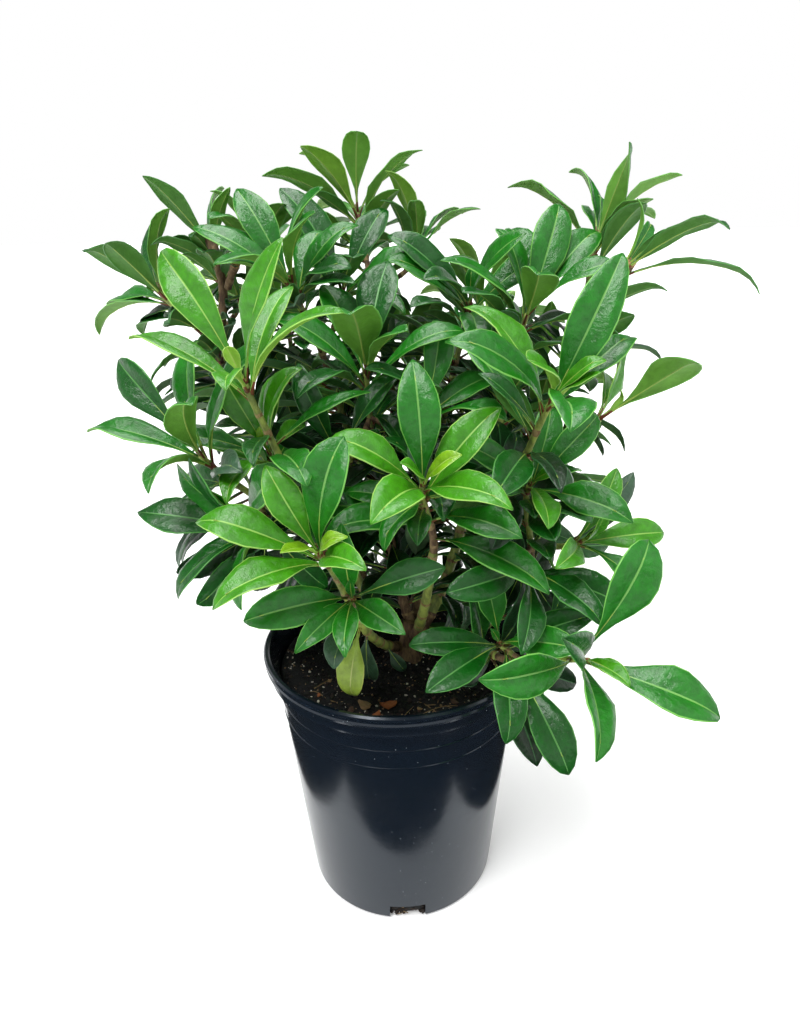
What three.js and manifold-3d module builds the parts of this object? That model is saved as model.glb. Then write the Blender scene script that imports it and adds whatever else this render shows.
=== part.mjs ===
// A potted skimmia: an evergreen shrub of many stems that end in whorls of leaves, in a round nursery pot.
// Millimetres, +Z up, front towards -Y. The origin is the middle of the pot's flat underside.
import * as THREE from 'three';
import { mergeVertices } from 'three/addons/utils/BufferGeometryUtils.js';
import Module from 'manifold-3d';

const wasm = await Module();
wasm.setup();

// ---------------------------------------------------------------- driving dimensions
const gap = 0.3; // clearance wherever two pieces meet

const pot = {
  height: 204,
  rimRadius: 100,
  mouthRadius: 91.5, // outside of the wall, just under the rim
  footRadius: 73,
  wall: 1.8,
  floor: 3,
  rimLip: 5, // width of the rim's top
  rimDepth: 10,
  slots: 4,
  slotTurn: -88, // bearing of the first drain slot
  slotWidth: 27,
  slotHeight: 13,
  slotDepth: 22,
  sides: 40,
};
const soil = { top: 186, sides: 30, rings: [0.76, 0.52], unevenness: 2.2, flatRadius: 26 };
const trunk = {
  foot: [9, 2, soil.top + gap],
  tip: [12, 1, 217],
  footRadius: 13,
  tipRadius: 7,
  flare: 2.4, // how sharply it widens to its foot
};

const leafShape = {
  stations: [0, 0.34, 0.68, 1], // shares of the length where the blade is drawn
  outline: [0.04, 0.75, 0.95, 0], // half width there, as a share of the widest
  widthShare: 0.3, // widest, as a share of the length
  thickness: 1.2,
  keel: 1.4, // depth of the midrib's ridge, as a share of the thickness
  fold: 0.24, // how far the edges stand above the midrib, as a share of the half width
};
const twig = {
  tipRadius: 1.9,
  leaving: [0.15, 0.4], // share of the mass's own stem where its other twigs leave it
  thinner: 0.8, // their foot, as a share of that stem's
  rootDepth: 0.4, // a leaf's root stands out from its twig's axis by this share of the radius
  rootSpacing: 2.2, // between one leaf's root and the next in a whorl
  topRoot: 1.2, // the highest root, below the end of the twig
};
// From the lowest leaf of a whorl to its highest; angles in degrees.
const whorl = {
  rise: [20, 56],
  lengths: [1.04, 0.9], // shares of the shoot's leaf length
  droop: [62, 40],
  twist: 14,
  openingSize: 0.5,
  openingRise: 12,
};
// Last year's leaves: how many on a twig, and how far below its whorl.
const oldLeaves = {
  count: 4,
  below: [22, 58],
  rise: [2, 22],
  lengths: [0.72, 0.95],
  droop: [34, 62],
  twist: 16,
};

// Main stems rise from a foot inside the trunk, and boughs from the tip of the stem they are on. Each tapers
// to its own tip, where a mass of foliage or its boughs begin.
const limbs = {
  stem_front: { foot: [12, -3, 204], tip: [25, -50, 296], radii: [4, 2.8] },
  stem_front_left: { foot: [2, 2, 194], tip: [-27, -66, 262], radii: [3.8, 2.7] },
  stem_right_low: { foot: [17, -1, 198], tip: [50, -34, 222], radii: [4.6, 3.4] },
  stem_left: { foot: [6, 3, 208], tip: [-38, -8, 282], radii: [4.2, 3.1] },
  stem_right: { foot: [17, 3, 206], tip: [50, 14, 290], radii: [4.6, 3.4] },
  stem_middle: { foot: [11, 3, 212], tip: [-8, 22, 312], radii: [4.2, 3.1] },
  stem_back: { foot: [14, 6, 208], tip: [22, 62, 306], radii: [4.2, 3.1] },
  stem_back_left: { foot: [6, 6, 202], tip: [-52, 58, 290], radii: [4.2, 3.1] },
  stem_back_low: { foot: [10, 8, 197], tip: [20, 62, 246], radii: [3.8, 2.8] },
  bough_low_right: { on: 'stem_right_low', tip: [66, -66, 226], radii: [3, 2.5] },
  bough_right: { on: 'stem_right_low', tip: [88, -38, 268], radii: [3, 2.5] },
  bough_left: { on: 'stem_left', tip: [-74, -22, 310], radii: [3, 2.5] },
  bough_left_front: { on: 'stem_left', tip: [-66, -48, 352], radii: [2.9, 2.4] },
  bough_right_front: { on: 'stem_right', tip: [80, -36, 344], radii: [3, 2.5] },
  bough_right_upper: { on: 'stem_right', tip: [84, 38, 380], radii: [3, 2.4] },
  bough_top_right: { on: 'stem_right', tip: [136, 56, 410], radii: [3, 2.4] },
  bough_right_back: { on: 'stem_right', tip: [82, 50, 304], radii: [3, 2.4] },
  bough_middle: { on: 'stem_middle', tip: [-14, 12, 352], radii: [2.9, 2.4] },
  bough_upper_left: { on: 'stem_middle', tip: [-46, 58, 396], radii: [3, 2.4] },
  bough_top: { on: 'stem_back', tip: [-10, 118, 430], radii: [3, 2.4] },
  bough_upper_middle: { on: 'stem_back', tip: [48, 82, 384], radii: [3, 2.4] },
  bough_back: { on: 'stem_back', tip: [62, 130, 350], radii: [3, 2.4] },
  bough_far_left: { on: 'stem_back_left', tip: [-132, 88, 404], radii: [3, 2.4] },
  bough_back_left: { on: 'stem_back_left', tip: [-82, 122, 346], radii: [3, 2.4] },
};

// A shoot is the heart of its whorl [x, y, z], the way the whorl faces [bearing, rise], its leaves' length,
// and where they stand round it: degrees from straight down, the lowest leaf first. A leaf may also be given
// as [around, lift, share of that length, twist]. The last few, as many as young says, are small ones still
// opening. Old says where last year's leaves stand, in place of a spiral, or gives them as [around, lift,
// share of that length, distance below the whorl]. Slim says how narrow all of them are.
const shoot = (heart, faces, length, leaves, more = {}) => ({ heart, faces, length, leaves, ...more });

// In a spiral each leaf stands a golden angle on from the one below it.
const spiral = (count, first) => Array.from({ length: count }, (_, i) => (first + 137.5 * i) % 360);

// Masses of foliage: the limb that carries each, and its shoots. The first shoot is the mass's own stem.
const masses = {
  foliage_front: {
    on: 'stem_front',
    shoots: [
      shoot(
        [17, -80, 352],
        [-85, 50],
        88,
        [[128, 36, 0.85], [251, 37, 0.85], [183, 40, 0.95], [321, 42, 0.85], [44, 43, 0.85], 85, 290],
        { young: 2, old: [[66, 2, 1.0, 52], [318, 34, 0.9, 46], [292, 20, 1.15, 40], [80, 26, 0.9, 36]] },
      ),
      shoot([22, -22, 326], [-60, 60], 74, spiral(5, 60)),
    ],
  },
  foliage_front_left: {
    on: 'stem_front_left',
    shoots: [
      shoot(
        [-42, -110, 323],
        [-112, 45],
        86,
        [[318, 35, 0.9, -15], [269, 39, 0.95, -25], [73, 45, 0.75], [160, 48, 0.95], [226, 55, 0.75],
         [347, 71, 0.5], 120],
        { young: 2, old: [] },
      ),
      shoot(
        [-26, -94, 286],
        [-95, 35],
        64,
        [[289, 33, 1.15], 110, [322, 38, 0.85], [57, 40, 0.85], 0, 200],
      ),
    ],
  },
  foliage_low_right: {
    on: 'bough_low_right',
    shoots: [
      shoot(
        [106, -125, 260],
        [-68, 28],
        90,
        [[265, 24, 0.95], [143, 26, 0.95], [52, 36, 0.95, 30], [330, 39, 0.75, 20], [241, 50, 0.75], 10],
        { young: 1, old: [] },
      ),
      shoot(
        [66, -72, 240],
        [-95, 42],
        76,
        [[25, 8, 1.15], [0, 29, 0.95, 25], 100, [277, 33, 0.95], [301, 35, 1.05], 70, [197, 46, 0.75]],
        { old: [150, 250] },
      ),
    ],
  },
  foliage_right: {
    on: 'bough_right',
    shoots: [
      shoot(
        [87, -42, 337],
        [-78, 42],
        80,
        [[174, 32, 0.85], [271, 33, 0.75], [249, 37, 0.95], [126, 38, 0.85], 40, [346, 44, 0.75], 80],
        { young: 2 },
      ),
      shoot(
        [116, -62, 305],
        [-60, 35],
        76,
        [[78, 27, 0.85], [228, 31, 0.95], [143, 37, 0.75], [284, 37, 0.75], [8, 40, 0.75], 190],
        { young: 1 },
      ),
      shoot([84, -64, 288], [-70, 25], 72, [270, 60, 320, 160, 20]),
    ],
  },
  foliage_left: {
    on: 'bough_left',
    shoots: [
      shoot(
        [-120, -40, 362],
        [-145, 55],
        86,
        [[40, 36, 0.8], 160, [304, 41, 0.95, -30], 210, [105, 49, 0.85, 30], [260, 49, 0.98, 35]],
        { old: [200, 300] },
      ),
      shoot(
        [-79, -24, 356],
        [-125, 58],
        72,
        [[278, 28, 0.75, -15], [91, 33, 0.75], 20, [181, 45, 0.85], 320, 140, 235],
      ),
      shoot(
        [-85, -58, 318],
        [-135, 30],
        84,
        [100, [40, 25, 0.8, -25], [346, 35, 0.85, -15], [285, 43, 0.95, -30], [230, 50, 0.8, 35], 160],
      ),
    ],
  },
  foliage_left_front: {
    on: 'bough_left_front',
    shoots: [
      shoot(
        [-82, -70, 412],
        [-115, 65],
        91,
        [[266, 27, 0.95, -30], [176, 28, 0.85], 100, [32, 37, 0.75], [237, 45, 1.05, 35], 140],
        { old: [60, 150], slim: 0.84 },
      ),
    ],
  },
  foliage_middle: {
    on: 'bough_middle',
    shoots: [
      shoot(
        [-16, 12, 400],
        [-95, 72],
        84,
        [310, 100, [263, 41, 0.95], 210, [167, 46, 1.05], [41, 49, 0.85], [1, 52, 1.15]],
      ),
      shoot([-34, -22, 352], [-120, 50], 74, spiral(5, 20)),
      shoot([22, -2, 372], [-50, 60], 76, spiral(5, 100)),
    ],
  },
  foliage_upper_left: {
    on: 'bough_upper_left',
    shoots: [
      shoot(
        [-68, 58, 458],
        [-110, 62],
        84,
        [[172, 29, 0.75], [133, 34, 0.85], [263, 36, 1.05], [219, 37, 1.05], 350, [317, 41, 0.75], 65,
         100],
      ),
      shoot([-34, 88, 448], [-65, 62], 82, [200, 20, 290, 70, [130, 45, 0.95], 340, [227, 43, 1.1]]),
    ],
  },
  foliage_far_left: {
    on: 'bough_far_left',
    shoots: [
      shoot(
        [-170, 90, 450],
        [165, 48],
        76,
        [[356, 26, 1.05], 330, [113, 31, 0.95, 20], [92, 34, 0.95, 35], [185, 39, 0.85], [250, 48, 1.0]],
        { old: [[317, 25, 0.9, 30], 100, 220] },
      ),
      shoot([-132, 112, 478], [140, 55], 68, [30, 70, 290, [197, 40, 0.75], [110, 55, 1.05, 25], 250]),
      shoot([-100, 122, 472], [60, 70], 66, spiral(7, 180)),
    ],
  },
  foliage_right_front: {
    on: 'bough_right_front',
    shoots: [
      shoot(
        [94, -62, 396],
        [-68, 52],
        92,
        [[211, 27, 0.95], [114, 29, 0.85, 30], [247, 30, 0.95], 330, [140, 49, 1.05], [282, 51, 0.75], 70],
        { young: 2, old: [200, 300] },
      ),
      shoot([142, 4, 367], [5, 35], 84, [[102, 28, 0.85], 130, [250, 42, 1.05, -35]], { old: [120] }),
    ],
  },
  foliage_right_upper: {
    on: 'bough_right_upper',
    shoots: [
      shoot(
        [97, 45, 433],
        [-50, 66],
        84,
        [[238, 31, 1.05], [20, 26, 0.9, 20], [160, 41, 1.0], [180, 46, 0.9], [301, 47, 0.95],
         [99, 48, 1.05], [133, 54, 1.05], 60],
      ),
    ],
  },
  foliage_top_right: {
    on: 'bough_top_right',
    shoots: [
      shoot(
        [154, 88, 482],
        [35, 66],
        80,
        [[130, 25, 1.08, 15], [254, 35, 0.75, -20], [225, 45, 1.0, 95], 50, [356, 43, 0.85], 310, 95],
        { old: [200, 130] },
      ),
      shoot(
        [154, 22, 462],
        [-5, 55],
        100,
        [[334, 30, 0.95], [283, 36, 0.95, -20], 90, 190],
        { young: 2, old: [], slim: 0.6 },
      ),
    ],
  },
  foliage_right_back: {
    on: 'bough_right_back',
    shoots: [
      shoot([108, 78, 336], [48, 45], 74, spiral(6, 150)),
      shoot([112, 34, 312], [10, 30], 66, spiral(5, 140)),
    ],
  },
  foliage_top: {
    on: 'bough_top',
    shoots: [
      shoot(
        [-23, 150, 505],
        [110, 66],
        76,
        [[227, 36, 1.05, -15], [93, 31, 1.15], 320, 20, [124, 38, 0.95, 15], [263, 39, 0.85],
         [173, 42, 0.86], 70],
        { old: [[115, 22, 0.9, 40], 200, 320, 60] },
      ),
      shoot(
        [26, 142, 478],
        [75, 66],
        68,
        [60, [288, 43, 1.0, -20], [185, 37, 0.75], 0, 120, 320, 30],
        { old: [60, 180] },
      ),
    ],
  },
  foliage_upper_middle: {
    on: 'bough_upper_middle',
    shoots: [
      shoot([60, 80, 436], [-92, 52], 82, [120, 0, [238, 36, 1.05], [262, 38, 0.95], 60, 310]),
    ],
  },
  foliage_back: {
    on: 'bough_back',
    shoots: [
      shoot([84, 172, 420], [65, 55], 80, spiral(7, 170)),
      shoot([120, 138, 368], [40, 40], 78, spiral(6, 150)),
      shoot([20, 170, 372], [95, 40], 78, spiral(6, 190)),
    ],
  },
  foliage_back_left: {
    on: 'bough_back_left',
    shoots: [
      shoot([-88, 168, 416], [120, 55], 80, spiral(7, 180)),
      shoot([-104, 134, 350], [150, 40], 78, spiral(6, 160)),
      shoot([-44, 150, 340], [110, 35], 74, spiral(6, 150)),
    ],
  },
  foliage_back_low: {
    on: 'stem_back_low',
    shoots: [
      shoot([18, 120, 290], [95, 32], 76, spiral(7, 170)),
      shoot([72, 98, 282], [50, 30], 72, spiral(6, 150)),
      shoot([-38, 104, 276], [125, 28], 70, spiral(6, 160)),
    ],
  },
};

// ---------------------------------------------------------------- growing rule
const point = (place) => new THREE.Vector3(...place);
const radians = THREE.MathUtils.degToRad;
// The first direction turned by an angle towards the second.
function mix(from, to, angle) {
  return from.clone().multiplyScalar(Math.cos(angle)).addScaledVector(to, Math.sin(angle));
}

// Evenly spread numbers from a seed, the same on every run.
function drawer(seed) {
  let state = Math.imul(seed + 17, 2654435761) >>> 0;
  return (low, high) => {
    state = (Math.imul(state, 1664525) + 1013904223) >>> 0;
    return low + ((high - low) * state) / 2 ** 32;
  };
}

// A stem leaves its foot outwards and turns up towards its tip.
function limbCurve(foot, tip) {
  const across = 0.62; // the knee's place between foot and tip
  const up = 0.34;
  const knee = new THREE.Vector3(
    foot.x + (tip.x - foot.x) * across,
    foot.y + (tip.y - foot.y) * across,
    foot.z + (tip.z - foot.z) * up,
  );
  return new THREE.QuadraticBezierCurve3(foot, knee, tip);
}

function facing([bearing, rise]) {
  const b = radians(bearing);
  const r = radians(rise);
  return new THREE.Vector3(Math.cos(b) * Math.cos(r), Math.sin(b) * Math.cos(r), Math.sin(r));
}

// A twig ends along the way its whorl faces; the stem of a mass also starts along its limb.
function twigCurve(foot, heart, axis) {
  const reach = foot.distanceTo(heart);
  return new THREE.QuadraticBezierCurve3(foot, heart.clone().addScaledVector(axis, -0.45 * reach), heart);
}
function stemCurve(foot, ahead, heart, axis) {
  const reach = foot.distanceTo(heart);
  const rising = foot.clone().addScaledVector(ahead, 0.3 * reach);
  const ending = heart.clone().addScaledVector(axis, -0.35 * reach);
  return new THREE.CubicBezierCurve3(foot, rising, ending, heart);
}

// One leaf round an axis, in degrees: around is counted from straight down, lift is the tip's rise from the
// whorl's plane, bend is the droop from root to tip, and twist the turn about the midrib.
function makeLeaf(foot, axis, { around, lift, length, bend, twist, slim = 1 }) {
  const down = new THREE.Vector3(0, 0, -1).addScaledVector(axis, axis.z).normalize();
  const side = new THREE.Vector3().crossVectors(axis, down);
  const a = radians(around);
  const l = radians(lift + bend / 2);
  const out = mix(down, side, a);
  const along = mix(out, axis, l);
  const face = mix(axis, out.negate(), l);
  const root = foot.clone().addScaledVector(along, twig.rootDepth * twig.tipRadius);
  const width = leafShape.widthShare * length * slim;
  return { root, along, face, length, width, bend: radians(bend), twist: radians(twist) };
}

// A point of the blade: t along it, side from -1 (left edge) to 1, height off its surface.
function leafPoint(leaf, t, side, halfWidth, height = 0) {
  const turned = leaf.bend * t;
  const across = new THREE.Vector3().crossVectors(leaf.along, leaf.face);
  const normal = mix(leaf.face, leaf.along, turned);
  const edge = mix(across, normal, leaf.twist * t);
  const up = mix(normal, across.negate(), leaf.twist * t);
  return leaf.root
    .clone()
    .addScaledVector(leaf.along, (leaf.length * Math.sin(turned)) / leaf.bend)
    .addScaledVector(leaf.face, (-leaf.length * (1 - Math.cos(turned))) / leaf.bend)
    .addScaledVector(edge, side * halfWidth)
    .addScaledVector(up, Math.abs(side) * halfWidth * leafShape.fold + height);
}

// The blade as a net of eight triangles, a little larger than life, to test it against its neighbours.
function leafNet(leaf) {
  const larger = 1.1;
  const start = 0.12; // clear of the twig
  const end = 1.02;
  const widest = 0.5 * leaf.width * larger;
  const { stations, outline } = leafShape;
  const near = leafPoint(leaf, start, 0, 0);
  const tip = leafPoint(leaf, end, 0, 0);
  const row = (k) => [-1, 0, 1].map((side) => leafPoint(leaf, stations[k], side, outline[k] * widest));
  const [left1, mid1, right1] = row(1);
  const [left2, mid2, right2] = row(2);
  const faces = [
    [near, left1, mid1],
    [near, mid1, right1],
    [left1, left2, mid2],
    [left1, mid2, mid1],
    [mid1, mid2, right2],
    [mid1, right2, right1],
    [left2, tip, mid2],
    [mid2, tip, right2],
  ];
  const corners = [near, left1, mid1, right1, left2, mid2, right2, tip];
  return { faces, corners, middle: mid1.clone().lerp(mid2, 0.5), reach: 0.62 * leaf.length };
}

const ray = new THREE.Ray();
const hit = new THREE.Vector3();
function crossesFace(from, to, [a, b, c]) {
  const step = new THREE.Vector3().subVectors(to, from);
  const length = step.length();
  ray.set(from, step.divideScalar(length));
  return ray.intersectTriangle(a, b, c, false, hit) !== null && hit.distanceTo(from) <= length;
}
const edgesOf = ([a, b, c]) => [
  [a, b],
  [b, c],
  [c, a],
];
function netsCross(one, other) {
  if (one.middle.distanceTo(other.middle) > one.reach + other.reach) return false;
  const pierces = (net, by) =>
    by.faces.some((f) => edgesOf(f).some(([p, q]) => net.faces.some((g) => crossesFace(p, q, g))));
  return pierces(one, other) || pierces(other, one);
}

const taper = (foot, tip) => (t) => foot + (tip - foot) * t;

// Limbs and twigs as chains of points with radii, to keep leaves off them.
function chainOf(curve, footRadius, tipRadius, steps) {
  const radiusAt = taper(footRadius, tipRadius);
  return curve.getPoints(steps).map((p, i) => ({ p, r: radiusAt(i / steps) }));
}
function netHitsChain(net, chain) {
  return chain.some(({ p, r }, i) => {
    if (p.distanceTo(net.middle) > net.reach + 20) return false;
    if (net.corners.some((c) => c.distanceTo(p) < r + 1)) return true;
    return i > 0 && net.faces.some((f) => crossesFace(chain[i - 1].p, p, f));
  });
}

// The pot's rim and wall, and the soil inside it.
function netHitsPot(net) {
  const clear = 4;
  const tests = [...net.corners, ...net.faces.map(([a, b, c]) => a.clone().add(b).add(c).divideScalar(3))];
  return tests.some((p) => {
    const out = Math.hypot(p.x, p.y);
    if (p.z < soil.top + clear && out < pot.rimRadius) return true;
    return p.z < pot.height + clear && Math.abs(out - pot.rimRadius + pot.rimLip) < pot.rimLip + clear;
  });
}

const forkShare = 0.985; // a bough's foot lies just inside the tip of its stem

// Everything that grows: limbs first, then twigs, then the leaves that find room.
function grow() {
  const limbRuns = {};
  for (const [name, limb] of Object.entries(limbs)) {
    const foot = limb.on ? limbRuns[limb.on].curve.getPoint(forkShare) : point(limb.foot);
    const curve = limbCurve(foot, point(limb.tip));
    limbRuns[name] = { ...limb, curve, chain: chainOf(curve, ...limb.radii, 10) };
  }
  const twigRuns = {};
  const grownShoots = [];
  for (const [name, mass] of Object.entries(masses)) {
    const limb = limbRuns[mass.on];
    const ahead = limb.curve.getTangent(1);
    const start = limb.curve.getPoint(1).addScaledVector(ahead, gap);
    const twigs = [];
    for (const each of mass.shoots) {
      const draw = drawer(grownShoots.length + 1);
      const heart = point(each.heart);
      const axis = facing(each.faces);
      const main = twigs[0];
      const foot = main ? main.curve.getPoint(draw(...twig.leaving)) : start;
      const footRadius = limb.radii[1] * (main ? twig.thinner : 1);
      const curve = main ? twigCurve(foot, heart, axis) : stemCurve(foot, ahead, heart, axis);
      const run = { curve, footRadius, chain: chainOf(curve, footRadius, twig.tipRadius, 8) };
      twigs.push(run);
      grownShoots.push({ mass: name, shoot: each, run, axis, draw });
    }
    twigRuns[name] = twigs;
  }

  const leaves = [];
  const twigs = Object.values(twigRuns).flat();
  const hasRoom = (net, own) =>
    !netHitsPot(net) &&
    !leaves.some((other) => netsCross(net, other.net)) &&
    !Object.values(limbRuns).some((limb) => netHitsChain(net, limb.chain)) &&
    !twigs.some((run) => run !== own && netHitsChain(net, run.chain));
  // A leaf that meets another turns and tilts a little further each time, and is left out in the end.
  const nudges = [[0, 0], [8, 5], [-8, -5], [16, 10], [-16, -8], [24, 14], [-24, -12]];
  const place = ({ mass, run, shoot: { slim } }, foot, axis, leaf) => {
    for (const [turn, tilt] of nudges) {
      const moved = { ...leaf, slim, around: leaf.around + turn, lift: leaf.lift + tilt };
      const made = makeLeaf(foot, axis, moved);
      const net = leafNet(made);
      if (hasRoom(net, run)) {
        leaves.push({ ...made, net, mass });
        return;
      }
    }
  };
  // The whorl at the end of each shoot opens from its lowest leaf to its highest.
  const between = ([low, high], share) => low + (high - low) * share;
  for (const grown of grownShoots) {
    const { draw, axis, run } = grown;
    const { length, young = 0, leaves: stands } = grown.shoot;
    const last = stands.length - 1;
    stands.forEach((stand, i) => {
      const [around, lift, size, twist] = [stand].flat();
      const share = i / last;
      const opening = i > last - young;
      const drawn = {
        around: around + draw(-5, 5),
        lift: between(whorl.rise, share) + draw(-5, 5) + (opening ? whorl.openingRise : 0),
        length:
          length * between(whorl.lengths, share) * draw(0.93, 1.05) * (opening ? whorl.openingSize : 1),
        bend: between(whorl.droop, share) + draw(-8, 8),
        twist: draw(-whorl.twist, whorl.twist),
      };
      const given = { around, lift, length: length * size, twist: twist ?? drawn.twist };
      const leaf = size ? { ...drawn, ...given } : drawn;
      const back = twig.topRoot + twig.rootSpacing * (last - i);
      place(grown, run.curve.getPoint(1 - back / run.curve.getLength()), axis, leaf);
    });
  }
  // Older leaves lower on each twig, spread flatter and drooping more.
  const lowest = 0.12; // none stand nearer the twig's foot than this share of it
  for (const grown of grownShoots) {
    const { draw, run } = grown;
    const { length, old = spiral(oldLeaves.count, draw(0, 360)) } = grown.shoot;
    old.forEach((stand) => {
      const [around, lift, size, below] = [stand].flat();
      const drop = draw(...oldLeaves.below);
      const t = 1 - (below ?? drop) / run.curve.getLength();
      const drawn = {
        around: around + draw(-12, 12),
        lift: draw(...oldLeaves.rise),
        length: length * draw(...oldLeaves.lengths),
        bend: draw(...oldLeaves.droop),
        twist: draw(-oldLeaves.twist, oldLeaves.twist),
      };
      const leaf = size ? { ...drawn, around, lift, length: length * size } : drawn;
      if (t > lowest) place(grown, run.curve.getPoint(t), run.curve.getTangent(t), leaf);
    });
  }
  return { limbRuns, twigRuns, leaves };
}

// ---------------------------------------------------------------- solids
function solidOf(geometry) {
  const plain = new THREE.BufferGeometry();
  const source = geometry.index ? geometry.toNonIndexed() : geometry;
  plain.setAttribute('position', source.getAttribute('position'));
  const merged = mergeVertices(plain, 1e-4);
  return new wasm.Manifold(
    new wasm.Mesh({
      numProp: 3,
      vertProperties: merged.attributes.position.array,
      triVerts: new Uint32Array(merged.index.array),
    }),
  );
}
function geometryOf(solid) {
  const mesh = solid.getMesh();
  const geometry = new THREE.BufferGeometry();
  geometry.setAttribute('position', new THREE.BufferAttribute(new Float32Array(mesh.vertProperties), 3));
  geometry.setIndex(new THREE.BufferAttribute(new Uint32Array(mesh.triVerts), 1));
  geometry.computeVertexNormals();
  return geometry;
}
// The largest piece of a solid, where a cut left scraps.
function largest(solid) {
  return solid.decompose().reduce((best, piece) => (piece.volume() > best.volume() ? piece : best));
}

// A round rod with its rings moved onto a curve; radiusAt gives the radius at each share of the way.
function rodAlong(curve, radiusAt, sides, rings) {
  const rod = new THREE.CylinderGeometry(1, 1, 1, sides, rings);
  const first = curve.getTangent(0);
  let side = new THREE.Vector3(1, 0, 0).addScaledVector(first, -first.x).normalize();
  const frames = [];
  for (let k = 0; k <= rings; k += 1) {
    const t = k / rings;
    const ahead = curve.getTangent(t);
    side = side.clone().addScaledVector(ahead, -side.dot(ahead)).normalize();
    const front = new THREE.Vector3().crossVectors(side, ahead);
    frames.push({ centre: curve.getPoint(t), side, front, radius: radiusAt(t) });
  }
  const position = rod.attributes.position;
  for (let i = 0; i < position.count; i += 1) {
    const { centre, side: s, front, radius } = frames[Math.round((position.getY(i) + 0.5) * rings)];
    const moved = centre
      .clone()
      .addScaledVector(s, position.getX(i) * radius)
      .addScaledVector(front, position.getZ(i) * radius);
    position.setXYZ(i, moved.x, moved.y, moved.z);
  }
  return solidOf(rod);
}

// A leaf: a three-sided cone flattened into a folded, bent blade with a ridge below its midrib, and its blunt
// end sunk in the twig.
function leafSolid(leaf) {
  const { stations, outline, thickness, keel } = leafShape;
  const rows = stations.length - 1;
  const blade = new THREE.ConeGeometry(1, 1, 3, rows, false, Math.PI);
  const position = blade.attributes.position;
  for (let i = 0; i < position.count; i += 1) {
    const row = Math.round((position.getY(i) + 0.5) * rows);
    const side = Math.sign(Math.round(position.getX(i) * 10));
    const ridge = side === 0 && row < rows ? -thickness * (row ? keel : 1) : 0;
    const halfWidth = 0.5 * leaf.width * outline[row];
    const moved = leafPoint(leaf, stations[row], side, halfWidth, ridge);
    position.setXYZ(i, moved.x, moved.y, moved.z);
  }
  return solidOf(blade);
}

// A profile of [radius, height] points turned round the Z axis.
function turned(profile, sides) {
  const points = profile.map(([r, z]) => new THREE.Vector2(r, z));
  return new THREE.LatheGeometry(points, sides).rotateX(Math.PI / 2);
}
const wallSlope = (pot.mouthRadius - pot.footRadius) / (pot.height - pot.rimDepth);
const wallRadius = (z) => pot.footRadius + wallSlope * z;

function potSolid() {
  const { height, rimRadius, rimLip, wall, floor, rimDepth, footRadius } = pot;
  const shoulder = height - rimDepth;
  const profile = [
    [0, 0],
    [footRadius - 2, 0],
    [wallRadius(2), 2],
    [wallRadius(shoulder), shoulder],
    [rimRadius - 2, shoulder],
    [rimRadius, shoulder + 2],
    [rimRadius, height - 2],
    [rimRadius - 2, height],
    [rimRadius - rimLip, height],
    [wallRadius(shoulder) - wall, shoulder - 3],
    [wallRadius(floor) - wall, floor],
    [0, floor],
  ];
  let body = solidOf(turned(profile, pot.sides));
  const past = 4; // each slot's cutter runs past the underside
  for (let k = 0; k < pot.slots; k += 1) {
    const slot = new THREE.BoxGeometry(pot.slotDepth, pot.slotWidth, pot.slotHeight + past);
    slot.translate(footRadius, 0, (pot.slotHeight - past) / 2);
    slot.rotateZ(radians(pot.slotTurn + (360 * k) / pot.slots));
    body = body.subtract(solidOf(slot));
  }
  return body;
}

// The potting mix fills the pot to just under the rim, flat round the trunk and a little uneven elsewhere.
function soilSolid() {
  const { top, flatRadius, unevenness, sides, rings } = soil;
  const flats = 0.4; // the pot's flats stand this far inside its round, with a little to spare
  const inner = (z) => wallRadius(z) - pot.wall - gap - flats;
  const profile = [
    [0, pot.floor + gap],
    [inner(pot.floor), pot.floor + gap],
    [inner(top), top],
    ...rings.map((share) => [inner(top) * share, top]),
    [flatRadius, top],
    [0, top],
  ];
  const fill = turned(profile, sides);
  const position = fill.attributes.position;
  for (let i = 0; i < position.count; i += 1) {
    const x = position.getX(i);
    const y = position.getY(i);
    const out = Math.hypot(x, y);
    if (position.getZ(i) < top - 1 || out < flatRadius + 1) continue;
    const wave = Math.sin(x * 0.11 + 1) * Math.cos(y * 0.13) + 0.5 * Math.sin(x * 0.05 - y * 0.09);
    position.setZ(i, top + wave * unevenness);
  }
  return solidOf(fill);
}

// The short woody trunk stands on the mix on a flat cut, flaring where the roots begin.
function trunkSolid(extra = 0) {
  const { foot, tip, footRadius, tipRadius, flare } = trunk;
  const lean = new THREE.LineCurve3(point(foot), point(tip));
  const flared = (t) => tipRadius + (footRadius - tipRadius) * (1 - t) ** flare + extra;
  const upright = rodAlong(lean, flared, 12, 5);
  const wide = 80;
  const below = new THREE.BoxGeometry(wide, wide, wide).translate(foot[0], foot[1], foot[2] - wide / 2);
  return upright.subtract(solidOf(below));
}

function limbSolid(run, extra = 0) {
  const [foot, tip] = run.radii;
  return rodAlong(run.curve, taper(foot + extra, tip + extra), 6, 4);
}

// ---------------------------------------------------------------- assembly
const plant = new THREE.Group();
const finishes = {
  pot: { color: 0x14161a, roughness: 0.28, metalness: 0 },
  soil: { color: 0x1d1612, roughness: 1, metalness: 0 },
  bark: { color: 0x7d6a48, roughness: 0.85, metalness: 0 },
  stem: { color: 0x6f7a37, roughness: 0.6, metalness: 0 },
  leaf: { color: 0x2c7a2a, roughness: 0.35, metalness: 0 },
};
for (const key of Object.keys(finishes)) finishes[key] = new THREE.MeshStandardMaterial(finishes[key]);

function add(name, solid, finish) {
  const mesh = new THREE.Mesh(geometryOf(solid), finishes[finish]);
  mesh.name = name;
  plant.add(mesh);
}

const { limbRuns, twigRuns, leaves } = grow();
const solids = { pot: potSolid(), soil: soilSolid(), trunk: trunkSolid() };
add('pot', solids.pot, 'pot');
add('soil', solids.soil, 'soil');
add('trunk', solids.trunk, 'bark');

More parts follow.
